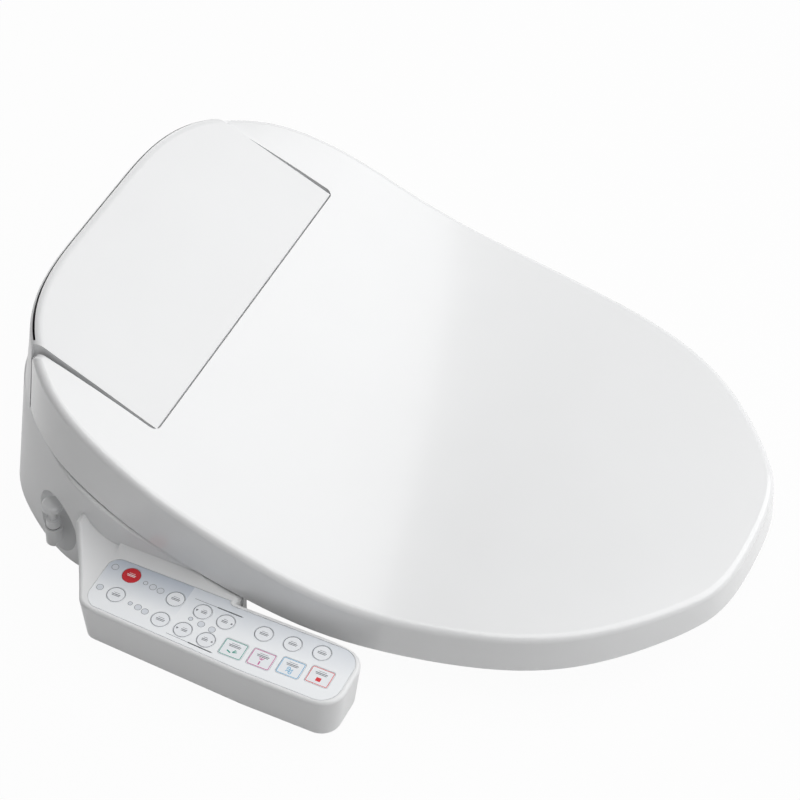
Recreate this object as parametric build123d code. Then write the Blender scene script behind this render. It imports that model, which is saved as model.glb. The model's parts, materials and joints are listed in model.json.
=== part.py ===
from build123d import *
import os
from math import cos, pi, radians, sin, tan

# Electric bidet seat, millimetres. +Z is up, +Y is the rear, the control arm is on -X.
# The origin is the middle of the two bowl bolts, in the plane of the bowl rim.

# Lid plan, and how far its walls lean in between two levels
LID_WIDTH = 382.0
LID_TIP = 450.0
LID_WIDEST = 163.0
LID_FULLNESS = 2.2
SIDE_LEAN = 14.0
TIP_LEAN = 15.0
WAIST_Y = 60.0
WAIST_HALF = 190.5
WAIST_LEAN = 13.0
HIP_HALF = 185.0
HIP_LEAN = 21.0
TAIL_HALF = 163.0
TAIL_LEAN = 29.5
REAR_DEPTH = 66.0
REAR_LEAN = 14.0
REAR_FLAT = 96.0
REAR_FLAT_LEAN = 62.0
PLAN_LOW = 20.0
PLAN_HIGH = 172.0

# Side view of the lid
LID_FRONT_Z = 60.5
RISE_START = 270.0
BEND_Y = 70.0
BEND_Z = 104.5
CREST_Z = 156.0
COVER_CREST_Z = 165.5
SKIRT_Z = 31.0
SKIRT_TIP_LIFT = 6.0
SKIRT_LIFT_START = 330.0
SKIRT_RISE_START = 235.0
SKIRT_MID_Y = 40.0
SKIRT_MID_Z = 72.5
TAIL_Y = 41.0
TAIL_SKIRT_Z = 99.5
LID_WALL = 3.0
LID_EDGE_RADIUS = 5.0
TAIL_CORNER = 7.0
LID_BUMPER_RADIUS = 6.0

# Notch in the lid and the cover that fills it
NOTCH_FRONT = 54.3
NOTCH_HALF_FRONT = 137.3
NOTCH_HALF_REAR = 135.6
NOTCH_CORNER = 5.5
NOTCH_FLANGE = 12.0
FLANGE_WALL = 2.5
NOTCH_FRONT_GAP = 1.5
NOTCH_SIDE_GAP = 2.5
TAIL_GAP = 1.8
COVER_DROP = 1.0
COVER_WALL = 2.5
COVER_EDGE_RADIUS = 7.0
FRONT_SPLIT_Z = 55.0

# Base tray
BASE_HIP_HALF = 181.0
BASE_HIP_LEAN = 7.0
BASE_TAIL_HALF = 156.5
BASE_TAIL_LEAN = 12.0
BASE_SIDE_HALF = 187.0
BASE_SIDE_START = 60.0
BASE_REAR = 81.0
BASE_REAR_LEAN = 7.0
BASE_FLAT = 81.0
BASE_FLAT_LEAN = 11.0
SKIRT_GAP = 2.0
BEAD_RADIUS = 2.5
TRAY_WALL = 3.0
DECK = 2.5
FLOOR_UNDER = 7.5
FLOOR = 3.0
WING_WALL = 5.0
ARM_WING_END = 145.0
FREE_WING_END = 75.0

# Clearances
FIT = 0.05
SLIP = 0.3
SEAT_GAP = 0.3

# Hinge shared by lid and seat
HINGE_Y = 24.0
HINGE_Z = 133.5
PIN_RADIUS = 3.0
PIN_END_X = 145.0
LID_BOSS_RADIUS = 6.5
LID_BOSS_WALL = 2.0
DAMPER_RADIUS = 7.0
DAMPER_LENGTH = 36.0
DAMPER_END_X = 120.0
LEAF_GAP = 0.4
LEAF_THICKNESS = 1.5
LEAF_EYE_RADIUS = 5.3
LEAF_HALF_HEIGHT = 5.5
LEAF_FOOT_Y = -74.0
LEAF_FOOT_Z = 82.0
LEAF_BLOCK_WIDTH = 9.0
LEAF_BLOCK_FRONT = 78.0
LEAF_BLOCK_TOP = 87.0

# Seat ring
SEAT_INSET = 13.0
SEAT_TIP_INSET = 11.0
SEAT_REAR = 60.0
SEAT_CORNER = 40.0
SEAT_LID_GAP = 4.0
SEAT_WALL = 3.5
SEAT_FOOT_Z = 10.0
SEAT_LOWER_DEPTH = 9.0
SEAT_LOWER_INSET = 12.0
SEAT_LOWER_WALL = 3.0
SEAT_RISE_START = 200.0
SEAT_REAR_LIFT = 50.0
SEAT_EDGE_RADIUS = 8.0
OPENING_Y = -243.0
OPENING_HALF_WIDTH = 103.0
OPENING_HALF_LENGTH = 140.0
HEATER_FOIL = 0.4
HEATER_INSET = 10.0
SEAT_BUMPER_RADIUS = 12.0

# Control arm
ARM_TOP_Z = 42.0
ARM_BOTTOM_Z = 6.0
ARM_OUTER_X = 252.0
ARM_INNER_X = 197.0
ARM_END_Y = 246.0
ARM_DRAFT = 6.0
ARM_ROOT_DEPTH = 20.0
ARM_ROOT_Y = 6.0
ARM_RIDGE_Y = 18.0
ARM_SHOULDER_Y = 50.0
ARM_SHOULDER_RADIUS = 14.0
ARM_BOW = 6.0
ARM_BOW_Y = 175.0
ARM_END_RADIUS = 18.0
ARM_EDGE_RADIUS = 2.5
ARM_WALL = 2.5
ARM_RAMP_Y = 50.0
ARM_RAMP_RISE = 25.0
ARM_COVE = 9.0
ARM_COVE_END = 125.0
ARM_JOINT_GAP = 0.1
ARM_ROOM_DRAFT = 3.5
ARM_ROOM_REAR = 52.0
OVERLAY_MARGIN = 3.5
OVERLAY_GAP = 0.5
OVERLAY_THICKNESS = 0.8
OVERLAY_REAR_Y = 50.0
OVERLAY_CORNER = 9.0
OVERLAY_TURN = 14.0
OVERLAY_TURN_X = 230.0
KEY_RADIUS = 6.5
KEY_HEIGHT = 3.0
KEY_EDGE = 0.25
KEY_TRAVEL = 0.5
SQUARE_KEY_X = 14.5
SQUARE_KEY_Y = 17.0
SQUARE_KEY_CORNER = 1.5
MAT_THICKNESS = 2.8
BOARD_THICKNESS = 1.6
LIGHT_RADIUS = 2.3
SMALL_LIGHT_RADIUS = 1.4

ROUND_KEYS = {
    "power_key": (-207.2, -69.6),
    "eco_key": (-227.0, -68.5),
    "water_heat_key": (-212.6, -106.7),
    "seat_heat_key": (-232.9, -105.9),
    "pressure_down_key": (-214.4, -128.5),
    "pressure_up_key": (-215.4, -146.7),
    "position_back_key": (-234.1, -123.7),
    "position_front_key": (-235.1, -141.9),
    "massage_key": (-213.3, -174.5),
    "sweep_key": (-212.6, -195.8),
    "clean_key": (-210.9, -216.9),
}
SQUARE_KEYS = {
    "rear_wash_key": (-234.1, -162.0),
    "front_wash_key": (-233.5, -182.8),
    "dry_key": (-231.5, -203.8),
    "stop_key": (-229.7, -224.6),
}
LIGHTS = [
    (-205.4, -56.0),
    (-225.8, -55.4),
    (-210.0, -87.8),
    (-210.6, -94.0),
    (-230.2, -87.3),
    (-231.4, -93.2),
    (-224.5, -132.6),
    (-225.5, -141.3),
]
SMALL_LIGHTS = [
    (-209.0, -81.6),
    (-229.5, -80.9),
    (-223.4, -124.0),
]
ARM_BOSSES = [(-222.5, -100.0), (-221.0, -158.0), (-221.5, -206.0)]
ARM_BOSS_RADIUS = 3.5
ARM_SCREW_RADIUS = 1.5

# Drain plug on the wall beside the arm
DRAIN_X = -171.0
DRAIN_Y = 14.4
DRAIN_BOSS_RADIUS = 6.2
DRAIN_BOSS_Z = 15.4
DRAIN_STEM_RADIUS = 3.3
DRAIN_SLEEVE_WALL = 1.3
DRAIN_SLEEVE_DEPTH = 6.0
DRAIN_COLLAR_RADIUS = 5.0
DRAIN_COLLAR = 7.0
DRAIN_NECK_RADIUS = 2.9
DRAIN_NECK = 11.0
DRAIN_HEAD_RADIUS = 7.4
DRAIN_HEAD = 5.0
NICHE_RADIUS = 26.0
NICHE_OUT = 13.0
NICHE_Z = 27.0

# Bowl plate and release button
BOLT_SPACING = 140.0
SLOT_LENGTH = 30.0
SLOT_WIDTH = 9.0
SLOT_HEAD = 18.0
SLOT_HEAD_DEPTH = 4.0
PLATE_LENGTH = 200.0
PLATE_WIDTH = 56.0
PLATE_CORNER = 8.0
BUTTON_Y = -36.0
BUTTON_Z = 22.0
BUTTON_LENGTH = 16.0
BUTTON_HEIGHT = 12.0
BUTTON_DEPTH = 20.0
BUTTON_PROUD = 3.0

# Water side
INLET_Y = -4.0
INLET_Z = 26.0
INLET_RADIUS = 10.45
INLET_BORE = 7.5
INLET_COLLAR = 1.0
INLET_SHOULDER_X = 188.5
INLET_REACH = 201.0
STRAINER_WALL = 1.6
STRAINER_LENGTH = 16.0
VALVE_X = 140.0
VALVE_LENGTH = 24.0
VALVE_WIDTH = 22.0
VALVE_HEIGHT = 24.0
COIL_RADIUS = 11.0
COIL_HEIGHT = 24.0
TANK_X = 48.0
TANK_LENGTH = 76.0
TANK_FRONT = -36.0
TANK_DEPTH = 80.0
TANK_HEIGHT = 60.0
TANK_ROUND = 8.0
TANK_HEATER_RADIUS = 16.0
TANK_HEATER_FLANGE = 6.0
TANK_HEATER_CAP = 12.0
HOSE_RADIUS = 4.5
HOSE_BEND = 10.0
HOSE_Z = 34.0
DIVERTER_WIDTH = 24.0
DIVERTER_DEPTH = 14.0
DIVERTER_HEIGHT = 36.0
DIVERTER_Y = 61.0

# Wash nozzles
NOZZLE_X = 13.0
NOZZLE_RADIUS = 6.0
NOZZLE_LENGTH = 118.0
NOZZLE_SLOPE = 18.0
NOZZLE_TIP_Y = -47.0
NOZZLE_TIP_Z = 40.0
NOZZLE_JET_RADIUS = 1.2
RACK_MODULE = 1.0
RACK_WIDTH = 5.0
RACK_START = 14.0
RACK_BED = 7.0
RACK_TEETH = 32
TOOTH_HALF = 0.6
ADDENDUM = 0.6
DEDENDUM = 0.7
TOOTH_SLOPE = 0.36
PINION_TEETH = 12
PINION_AT = 20.0
SHAFT_RADIUS = 1.5
MOTOR_RADIUS = 12.0
MOTOR_LENGTH = 18.0
CRADLE_HALF = 24.0
CRADLE_DEPTH = 10.0
CRADLE_START = 26.0
BRACKET_X = 20.5
BRACKET = 2.0
WINDOW_HALF = 21.0
WINDOW_LOW = 29.0
WINDOW_HIGH = 50.0

# Warm air dryer
FAN_X = -84.0
FAN_Y = -2.0
SCROLL_RADIUS = 33.0
SCROLL_HEIGHT = 32.0
SCROLL_WALL = 2.0
SCROLL_INLET = 20.0
IMPELLER_RADIUS = 27.0
IMPELLER_HEIGHT = 20.0
IMPELLER_BLADES = 16
IMPELLER_HUB = 6.0
BLADE_INNER = 15.0
BLADE_THICKNESS = 1.2
FAN_SHAFT_RADIUS = 2.0
FAN_MOTOR_RADIUS = 13.0
FAN_MOTOR_HEIGHT = 20.0
DUCT_X = -96.5
DUCT_WIDTH = 32.0
DUCT_LOW = 14.0
DUCT_HEIGHT = 26.0
FLAP_THICKNESS = 1.7
FLAP_BARREL = 1.6
FLAP_PIN = 1.0
FLAP_EAR = 2.0

# Electrics
MAIN_BOARD_X = -77.0
MAIN_BOARD_LENGTH = 86.0
MAIN_BOARD_Y = 45.0
MAIN_BOARD_WIDTH = 22.0
MAIN_BOARD_LIFT = 11.5
BOARD_POST_RADIUS = 3.0
SINK_WIDTH = 16.0
SINK_HEIGHT = 18.0
CHIP_WIDTH = 14.0
CHIP_HEIGHT = 3.0
PART_MARGIN = 4.0
BLOCK_CHAMFER = 2.0
TRANSFORMER_X = -64.0
TRANSFORMER_LENGTH = 40.0
TRANSFORMER_WIDTH = 20.0
TRANSFORMER_HEIGHT = 30.0
GLAND_X = -60.0
GLAND_Z = 34.0
GLAND_RADIUS = 6.0
GLAND_FLANGE = 9.0
GLAND_REACH = 7.0
GLAND_BORE = 3.4

# Cover screws
FRONT_SCREW = (118.0, -42.0)
REAR_SCREW = (88.0, 60.0)
SCREW_RADIUS = 1.9
SCREW_HEAD_RADIUS = 3.5
SCREW_HEAD = 3.0
POST_RADIUS = 4.5
TAB_HEIGHT = 8.0

# Worked-out values
FAR = 320.0
BELOW = -40.0
ABOVE = 260.0
INNER_FLOOR = FLOOR_UNDER + FLOOR
PARTING_Z = TAIL_SKIRT_Z - SKIRT_GAP
HOUSING_FRONT = -NOTCH_FRONT + NOTCH_FRONT_GAP
WALL_INSIDE = HOUSING_FRONT + TRAY_WALL
COVER_REAR_Y = TAIL_Y + TAIL_GAP
SEAT_TOP_DROP = LID_WALL + SEAT_LID_GAP
SEAT_HALF = LID_WIDTH / 2 - SEAT_INSET
SEAT_TIP = LID_TIP - SEAT_TIP_INSET
PITCH = pi * RACK_MODULE
PITCH_RADIUS = RACK_MODULE * PINION_TEETH / 2
PITCH_LINE = RACK_BED + DEDENDUM
PINION_LIFT = PITCH_LINE + PITCH_RADIUS
KEY_BOTTOM = ARM_TOP_Z - KEY_HEIGHT
CASE_INSIDE = ARM_TOP_Z - ARM_WALL
MAT_TOP = KEY_BOTTOM - KEY_TRAVEL - 0.1
BOARD_TOP = MAT_TOP - MAT_THICKNESS
BOARD_UNDER = BOARD_TOP - BOARD_THICKNESS
DUCT_HIGH = DUCT_LOW + DUCT_HEIGHT
SCROLL_TOP = INNER_FLOOR + SCROLL_HEIGHT
FLAP_Y = HOUSING_FRONT - FLAP_BARREL - SLIP
FLAP_AXIS_Z = DUCT_HIGH + FLAP_BARREL
MAIN_BOARD_Z = INNER_FLOOR + MAIN_BOARD_LIFT
LEAF_INNER = NOTCH_HALF_FRONT - NOTCH_SIDE_GAP + LEAF_GAP
LEAF_OUTER = LEAF_INNER + LEAF_THICKNESS
LID_INNER = LEAF_OUTER + LEAF_GAP + 0.2
GLAND_Y = BASE_REAR - BASE_REAR_LEAN * (GLAND_Z + GLAND_FLANGE) / TAIL_SKIRT_Z


def slab(x0, x1, y0, y1, z0, z1):
    """Box between two corners."""
    return Pos((x0 + x1) / 2, (y0 + y1) / 2, (z0 + z1) / 2) * Box(x1 - x0, y1 - y0, z1 - z0)


def post(radius, x, y, z0, z1):
    """Upright cylinder."""
    return Pos(x, y, (z0 + z1) / 2) * Cylinder(radius, z1 - z0)


def rod(radius, x0, x1, y, z):
    """Cylinder along X."""
    return Pos((x0 + x1) / 2, y, z) * Rot(0, 90, 0) * Cylinder(radius, x1 - x0)


def both_sides(part):
    """A piece and its mirror image on the other side."""
    return part + mirror(part, Plane.YZ)


def across(face, half_span):
    """Extrude a side view, drawn as (y, z), to both sides of the middle plane."""
    return extrude(Plane.YZ * face, amount=half_span, both=True)


def side_slice(face, x0, x1):
    """Extrude a side view, drawn as (y, z), between two X values."""
    return extrude(Plane.YZ.offset(x0) * face, amount=x1 - x0, dir=(1, 0, 0))


def upright(face, z0, z1):
    """Extrude a plan view between two levels."""
    return extrude(Pos(0, 0, z0) * face, amount=z1 - z0, dir=(0, 0, 1))


def under(line):
    """Side-view face below a line."""
    ends = [edge @ t for edge in line for t in (0, 1)]
    first = min(ends, key=lambda p: p.X)
    last = max(ends, key=lambda p: p.X)
    closing = Polyline(last, (last.X, BELOW), (first.X, BELOW), first)
    return make_face([*line, *closing.edges()])


def front_curve(half, tip, fullness):
    """Right half of the rounded front, from the widest line to the tip."""
    def at(turn):
        share = 2 / fullness
        return (half * cos(turn) ** share, -LID_WIDEST - (tip - LID_WIDEST) * sin(turn) ** share)

    between = [at(radians(turn)) for turn in (22.5, 45, 67.5)]
    return Spline((half, -LID_WIDEST), *between, (0, -tip), tangents=[(0, -1), (-1, 0)])


def mirrored_face(back, curves):
    """Face from a rear line and the curves of its right half."""
    edges = list(back.edges())
    for curve in curves:
        edges += curve.edges()
        edges += mirror(curve, Plane.YZ).edges()
    return make_face(edges)


def plan_face(z, rear, flat, tail, hip, waist, half, tip):
    """Plan outline: flat rear, rounded shoulders, fuller-than-oval front."""
    points = [(flat, rear), (tail, TAIL_Y), (hip, 0), (waist, -WAIST_Y), (half, -LID_WIDEST)]
    side = Spline(*points, tangents=[(1, 0), (0, -1)])
    back = Line((-flat, rear), (flat, rear))
    return Pos(0, 0, z) * mirrored_face(back, [side, front_curve(half, tip, LID_FULLNESS)])


def upper_body(inset):
    """Leaning body that lid and rear cover are cut from."""
    half = LID_WIDTH / 2 - inset
    rear = REAR_DEPTH + REAR_LEAN - inset
    tail = TAIL_HALF - inset
    hip = HIP_HALF - inset
    waist = WAIST_HALF - inset
    tip = LID_TIP - inset
    low = plan_face(PLAN_LOW, rear, REAR_FLAT, tail, hip, waist, half, tip)
    high = plan_face(
        PLAN_HIGH, rear - REAR_LEAN, REAR_FLAT - REAR_FLAT_LEAN, tail - TAIL_LEAN, hip - HIP_LEAN,
        waist - WAIST_LEAN, half - SIDE_LEAN, tip - TIP_LEAN,
    )
    return loft([low, high], ruled=True)


def base_face(z, inset, lean):
    """Plan outline of the base, whose sides run straight from the hips forward."""
    half = BASE_SIDE_HALF - inset
    rear = BASE_REAR - inset - lean * BASE_REAR_LEAN
    tail = BASE_TAIL_HALF - inset - lean * BASE_TAIL_LEAN
    flat = BASE_FLAT - lean * BASE_FLAT_LEAN
    hip = BASE_HIP_HALF - inset - lean * BASE_HIP_LEAN
    points = [(flat, rear), (tail, TAIL_Y), (hip, 0), (half, -BASE_SIDE_START)]
    shoulder = Spline(*points, tangents=[(1, 0), (0, -1)])
    side = Line((half, -BASE_SIDE_START), (half, -LID_WIDEST))
    back = Line((-flat, rear), (flat, rear))
    front = front_curve(half, LID_TIP - inset, LID_FULLNESS)
    return Pos(0, 0, z) * mirrored_face(back, [shoulder, side, front])


def base_body(inset):
    """Body that the base tray is cut from."""
    return loft([base_face(0, inset, 0), base_face(TAIL_SKIRT_Z, inset, 1)], ruled=True)


def top_line(drop, crest_z=CREST_Z):
    """Side view of the lid's top: flat front, hollow rise, rounded crest."""
    front_z = LID_FRONT_Z - drop
    front = Line((-LID_TIP - LID_WALL, front_z), (-RISE_START, front_z))
    rise = TangentArc((-RISE_START, front_z), (-BEND_Y, BEND_Z - drop), tangent=(1, 0))
    crest = TangentArc(rise @ 1, (REAR_DEPTH, crest_z - drop), tangent=rise % 1)
    rear = Line(crest @ 1, crest @ 1 + (crest % 1) * (BASE_REAR + REAR_LEAN - REAR_DEPTH + LID_WALL))
    return [front, rise, crest, rear]


def skirt_line(drop):
    """Side view of the lid's lower edge, level behind the tails."""
    flat_z = SKIRT_Z - drop
    tip_end = (-LID_TIP - LID_WALL, flat_z + SKIRT_TIP_LIFT)
    tip = TangentArc((-SKIRT_LIFT_START, flat_z), tip_end, tangent=(-1, 0))
    flat = Line((-SKIRT_LIFT_START, flat_z), (-SKIRT_RISE_START, flat_z))
    rise = TangentArc((-SKIRT_RISE_START, flat_z), (-SKIRT_MID_Y, SKIRT_MID_Z - drop), tangent=(1, 0))
    tail = TangentArc(rise @ 1, (TAIL_Y, TAIL_SKIRT_Z - drop), tangent=rise % 1)
    rear = Line(tail @ 1, (BASE_REAR + REAR_LEAN + LID_WALL, TAIL_SKIRT_Z - drop))
    return [tip, flat, rise, tail, rear]


def seat_under_line(raise_by):
    """Side view of the seat's underside: flat, then rising clear of the nozzles."""
    low = SEAT_FOOT_Z + raise_by
    flat = Line((-LID_TIP - LID_WALL, low), (-SEAT_RISE_START, low))
    rise = TangentArc(flat @ 1, (-SEAT_REAR, low + SEAT_REAR_LIFT), tangent=(1, 0))
    rear = Line(rise @ 1, rise @ 1 + (rise % 1) * SEAT_CORNER)
    return [flat, rise, rear]


def band(upper, lower):
    """Solid between two side-view lines."""
    return across(under(upper), FAR) - across(under(lower), FAR)


def rim_edges(solid):
    """Outer edges of the faces that look up."""
    lone = {}
    for face in solid.faces():
        if face.normal_at(face.center()).Z > 0.7:
            for edge in face.edges():
                spot = tuple(round(v, 1) for v in edge.center())
                lone[spot] = None if spot in lone else edge
    return [edge for edge in lone.values() if edge is not None]


def notch_face(grow, corner):
    """Plan of the notch, widened by grow at the sides and front."""
    front = -NOTCH_FRONT - grow
    rear = BASE_REAR + REAR_LEAN
    outline = Polygon(
        (-NOTCH_HALF_FRONT - grow, front), (NOTCH_HALF_FRONT + grow, front), (NOTCH_HALF_REAR + grow, TAIL_Y),
        (NOTCH_HALF_REAR + grow, rear), (-NOTCH_HALF_REAR - grow, rear), (-NOTCH_HALF_REAR - grow, TAIL_Y),
        align=None,
    )
    return fillet(outline.vertices().group_by(Axis.Y)[0], corner)


def block_face(side_gap, front, rear):
    """Plan of the housing block in the notch, and everything behind the tails."""
    front_half = NOTCH_HALF_FRONT - side_gap
    rear_half = NOTCH_HALF_REAR - side_gap
    return Polygon(
        (-front_half, front), (front_half, front), (rear_half, rear), (FAR, rear),
        (FAR, FAR), (-FAR, FAR), (-FAR, rear), (-rear_half, rear), align=None,
    )


def lid_solid():
    """Lid before it is hollowed: leaning sides, rounded rim, notch and tails."""
    blank = upper_body(0) & across(under(top_line(0)), FAR)
    blank = fillet(rim_edges(blank), LID_EDGE_RADIUS)
    ahead = Pos(TAIL_Y - FAR, 0) * Rectangle(2 * FAR, 4 * FAR)
    side = under(top_line(0)) & ahead
    corner = side.vertices().group_by(Axis.X)[-1].sort_by(Axis.Y)[-1]
    blank = blank & across(fillet(corner, TAIL_CORNER), FAR)
    blank = blank - across(under(skirt_line(0)), FAR)
    return blank - upright(notch_face(0, NOTCH_CORNER), BELOW, ABOVE)


def lid_shell():
    solid = lid_solid()
    hollow = upper_body(LID_WALL) & across(under(top_line(LID_WALL)), FAR)
    hollow = hollow - slab(-FAR, FAR, TAIL_Y - LID_WALL, FAR, BELOW, ABOVE)
    flange = upright(notch_face(FLANGE_WALL, NOTCH_CORNER + FLANGE_WALL), BELOW, ABOVE)
    hollow = hollow - (flange & band(top_line(0), top_line(NOTCH_FLANGE)))
    relief = slab(-LID_INNER, LID_INNER, NOTCH_CORNER - NOTCH_FRONT, FAR, BELOW, ABOVE)
    relief = relief & across(under(top_line(LID_WALL)), FAR)
    boss_end = PIN_END_X + LID_BOSS_WALL
    boss = rod(LID_BOSS_RADIUS, LID_INNER, boss_end, HINGE_Y, HINGE_Z)
    boss = boss + slab(
        LID_INNER, boss_end, HINGE_Y - LID_BOSS_RADIUS, HINGE_Y + LID_BOSS_RADIUS, HINGE_Z, ABOVE
    )
    shell = solid - hollow - relief + (both_sides(boss) & solid)
    return shell - both_sides(rod(PIN_RADIUS + FIT, LID_INNER, PIN_END_X + SLIP, HINGE_Y, HINGE_Z))


def rear_cover():
    blank = upper_body(0) & across(under(top_line(COVER_DROP, COVER_CREST_Z)), FAR)
    blank = fillet(rim_edges(blank), COVER_EDGE_RADIUS)
    keep = upright(block_face(NOTCH_SIDE_GAP, HOUSING_FRONT, COVER_REAR_Y), FRONT_SPLIT_Z, ABOVE)
    keep = keep - slab(-FAR, FAR, COVER_REAR_Y, FAR, BELOW, PARTING_Z)
    solid = blank & keep
    room = block_face(NOTCH_SIDE_GAP + COVER_WALL, HOUSING_FRONT + COVER_WALL, COVER_REAR_Y + COVER_WALL)
    hollow = upper_body(COVER_WALL) & across(under(top_line(COVER_DROP + COVER_WALL, COVER_CREST_Z)), FAR)
    shell = solid - (hollow & upright(room, BELOW, ABOVE))
    wall_x = NOTCH_HALF_FRONT
    hinge_boss = rod(DAMPER_RADIUS, DAMPER_END_X, wall_x, HINGE_Y, HINGE_Z)
    front_x, front_y = FRONT_SCREW
    rear_x, rear_y = REAR_SCREW
    front_tab = slab(
        front_x - POST_RADIUS, wall_x, HOUSING_FRONT, front_y + POST_RADIUS,
        FRONT_SPLIT_Z, FRONT_SPLIT_Z + TAB_HEIGHT,
    )
    rear_tab = slab(
        rear_x - POST_RADIUS, rear_x + POST_RADIUS, rear_y - POST_RADIUS, BASE_REAR,
        PARTING_Z, PARTING_Z + TAB_HEIGHT,
    )
    shell = shell + (both_sides(hinge_boss + front_tab + rear_tab) & solid)
    bores = rod(PIN_RADIUS + FIT, DAMPER_END_X, wall_x, HINGE_Y, HINGE_Z)
    for (x, y), seat_z in ((FRONT_SCREW, FRONT_SPLIT_Z), (REAR_SCREW, PARTING_Z)):
        bores = bores + post(SCREW_RADIUS + FIT, x, y, seat_z, seat_z + TAB_HEIGHT - 1)
    return shell - both_sides(bores)


def tray_shell():
    """Base tray walls, deck, wings and raised floor."""
    blank = base_body(0) & across(under(skirt_line(SKIRT_GAP)), FAR)
    bead = [edge for edge in rim_edges(blank) if edge.center().Y < TAIL_Y]
    blank = fillet(bead, BEAD_RADIUS)
    wing_x = BASE_SIDE_HALF - WING_WALL
    keep = slab(-FAR, FAR, HOUSING_FRONT, FAR, BELOW, ABOVE)
    keep = keep + slab(-FAR, -wing_x, -ARM_WING_END, HOUSING_FRONT, BELOW, ABOVE)
    keep = keep + slab(wing_x, FAR, -FREE_WING_END, HOUSING_FRONT, BELOW, ABOVE)
    inside = base_body(TRAY_WALL) & slab(-FAR, FAR, WALL_INSIDE, FAR, BELOW, ABOVE)
    above_floor = slab(-FAR, FAR, -FAR, FAR, INNER_FLOOR, ABOVE)
    room = inside & across(under(skirt_line(SKIRT_GAP + DECK)), FAR) & above_floor
    mouth = block_face(NOTCH_SIDE_GAP - SLIP, WALL_INSIDE, COVER_REAR_Y + COVER_WALL)
    mouth = inside & upright(mouth, INNER_FLOOR, ABOVE)
    lip = block_face(NOTCH_SIDE_GAP - SLIP, HOUSING_FRONT, COVER_REAR_Y)
    lip = upright(lip, FRONT_SPLIT_Z, ABOVE) & slab(-FAR, FAR, HOUSING_FRONT, WALL_INSIDE, 0, ABOVE)
    recess = inside & slab(-FAR, FAR, -FAR, FAR, BELOW, FLOOR_UNDER)
    return (blank & keep) - room - mouth - lip - recess


def base_tray():
    tray = tray_shell()
    body = base_body(0)
    low_floor = slab(-FAR, FAR, -FAR, FAR, 0, ABOVE)
    niche_spot = Pos(DRAIN_X - NICHE_OUT, DRAIN_Y, NICHE_Z)
    niche_wall = niche_spot * Sphere(NICHE_RADIUS + TRAY_WALL)
    sleeve_radius = DRAIN_STEM_RADIUS + 2 * FIT + DRAIN_SLEEVE_WALL
    drain_bore = post(sleeve_radius + FIT, DRAIN_X, DRAIN_Y, DRAIN_BOSS_Z - DRAIN_SLEEVE_DEPTH, DRAIN_BOSS_Z)
    drain_hole = post(DRAIN_STEM_RADIUS - 1, DRAIN_X, DRAIN_Y, BELOW, DRAIN_BOSS_Z)
    tray = tray + (niche_wall & body) - niche_spot * Sphere(NICHE_RADIUS)
    tray = tray + post(DRAIN_BOSS_RADIUS, DRAIN_X, DRAIN_Y, 0, DRAIN_BOSS_Z) - drain_bore - drain_hole

    tray = tray - rod(INLET_RADIUS + INLET_COLLAR + SLIP, VALVE_X, FAR, INLET_Y, INLET_Z)
    tray = tray - slab(
        VALVE_X, FAR, BUTTON_Y - BUTTON_LENGTH / 2 - SLIP, BUTTON_Y + BUTTON_LENGTH / 2 + SLIP,
        BUTTON_Z - BUTTON_HEIGHT / 2 - SLIP, BUTTON_Z + BUTTON_HEIGHT / 2 + SLIP,
    )
    gland_wall = Pos(GLAND_X, GLAND_Y, GLAND_Z) * Rot(-90, 0, 0)
    tray = tray - gland_wall * post(GLAND_RADIUS + FIT, 0, 0, -2 * TRAY_WALL, GLAND_REACH)
    tray = tray - gland_wall * post(GLAND_FLANGE + SLIP, 0, 0, 0, GLAND_REACH)
    tray = tray - slab(-WINDOW_HALF, WINDOW_HALF, -FAR, WALL_INSIDE, WINDOW_LOW, WINDOW_HIGH)
    duct_half = DUCT_WIDTH / 2 - SCROLL_WALL
    tray = tray - slab(
        DUCT_X - duct_half, DUCT_X + duct_half, -FAR, WALL_INSIDE, DUCT_LOW + SCROLL_WALL, DUCT_HIGH - SCROLL_WALL
    )

    for (x, y), top in ((FRONT_SCREW, FRONT_SPLIT_Z), (REAR_SCREW, PARTING_Z)):
        tray = tray + both_sides(post(POST_RADIUS, x, y, FLOOR_UNDER, top))
        tray = tray - both_sides(post(SCREW_RADIUS + SLIP, x, y, BELOW, top))
    for x in (-1, 1):
        for y in (-1, 1):
            px = MAIN_BOARD_X + x * (MAIN_BOARD_LENGTH / 2 - BOARD_POST_RADIUS)
            py = MAIN_BOARD_Y + y * (MAIN_BOARD_WIDTH / 2 - BOARD_POST_RADIUS)
            tray = tray + post(BOARD_POST_RADIUS, px, py, FLOOR_UNDER, MAIN_BOARD_Z)
    for side in (-1, 1):
        ear_x = DUCT_X + side * (DUCT_WIDTH / 2 + SLIP + FLAP_EAR / 2)
        ear = slab(
            ear_x - FLAP_EAR / 2, ear_x + FLAP_EAR / 2, FLAP_Y - FLAP_BARREL, HOUSING_FRONT,
            FLAP_AXIS_Z - FLAP_BARREL, FLAP_AXIS_Z + FLAP_BARREL,
        )
        tray = tray + ear - rod(FLAP_PIN + FIT, ear_x - FLAP_EAR, ear_x + FLAP_EAR, FLAP_Y, FLAP_AXIS_Z)
    return tray & low_floor


def mounting_plate():
    plate = RectangleRounded(PLATE_LENGTH, PLATE_WIDTH, PLATE_CORNER)
    solid = upright(plate, 0, FLOOR_UNDER)
    for side in (-1, 1):
        spot = Pos(side * BOLT_SPACING / 2, 0)
        slot = spot * SlotOverall(SLOT_LENGTH, SLOT_WIDTH)
        head = spot * SlotOverall(SLOT_LENGTH + SLOT_HEAD - SLOT_WIDTH, SLOT_HEAD)
        solid = solid - upright(slot, 0, FLOOR_UNDER)
        solid = solid - upright(head, FLOOR_UNDER - SLOT_HEAD_DEPTH, FLOOR_UNDER)
    return solid


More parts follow.
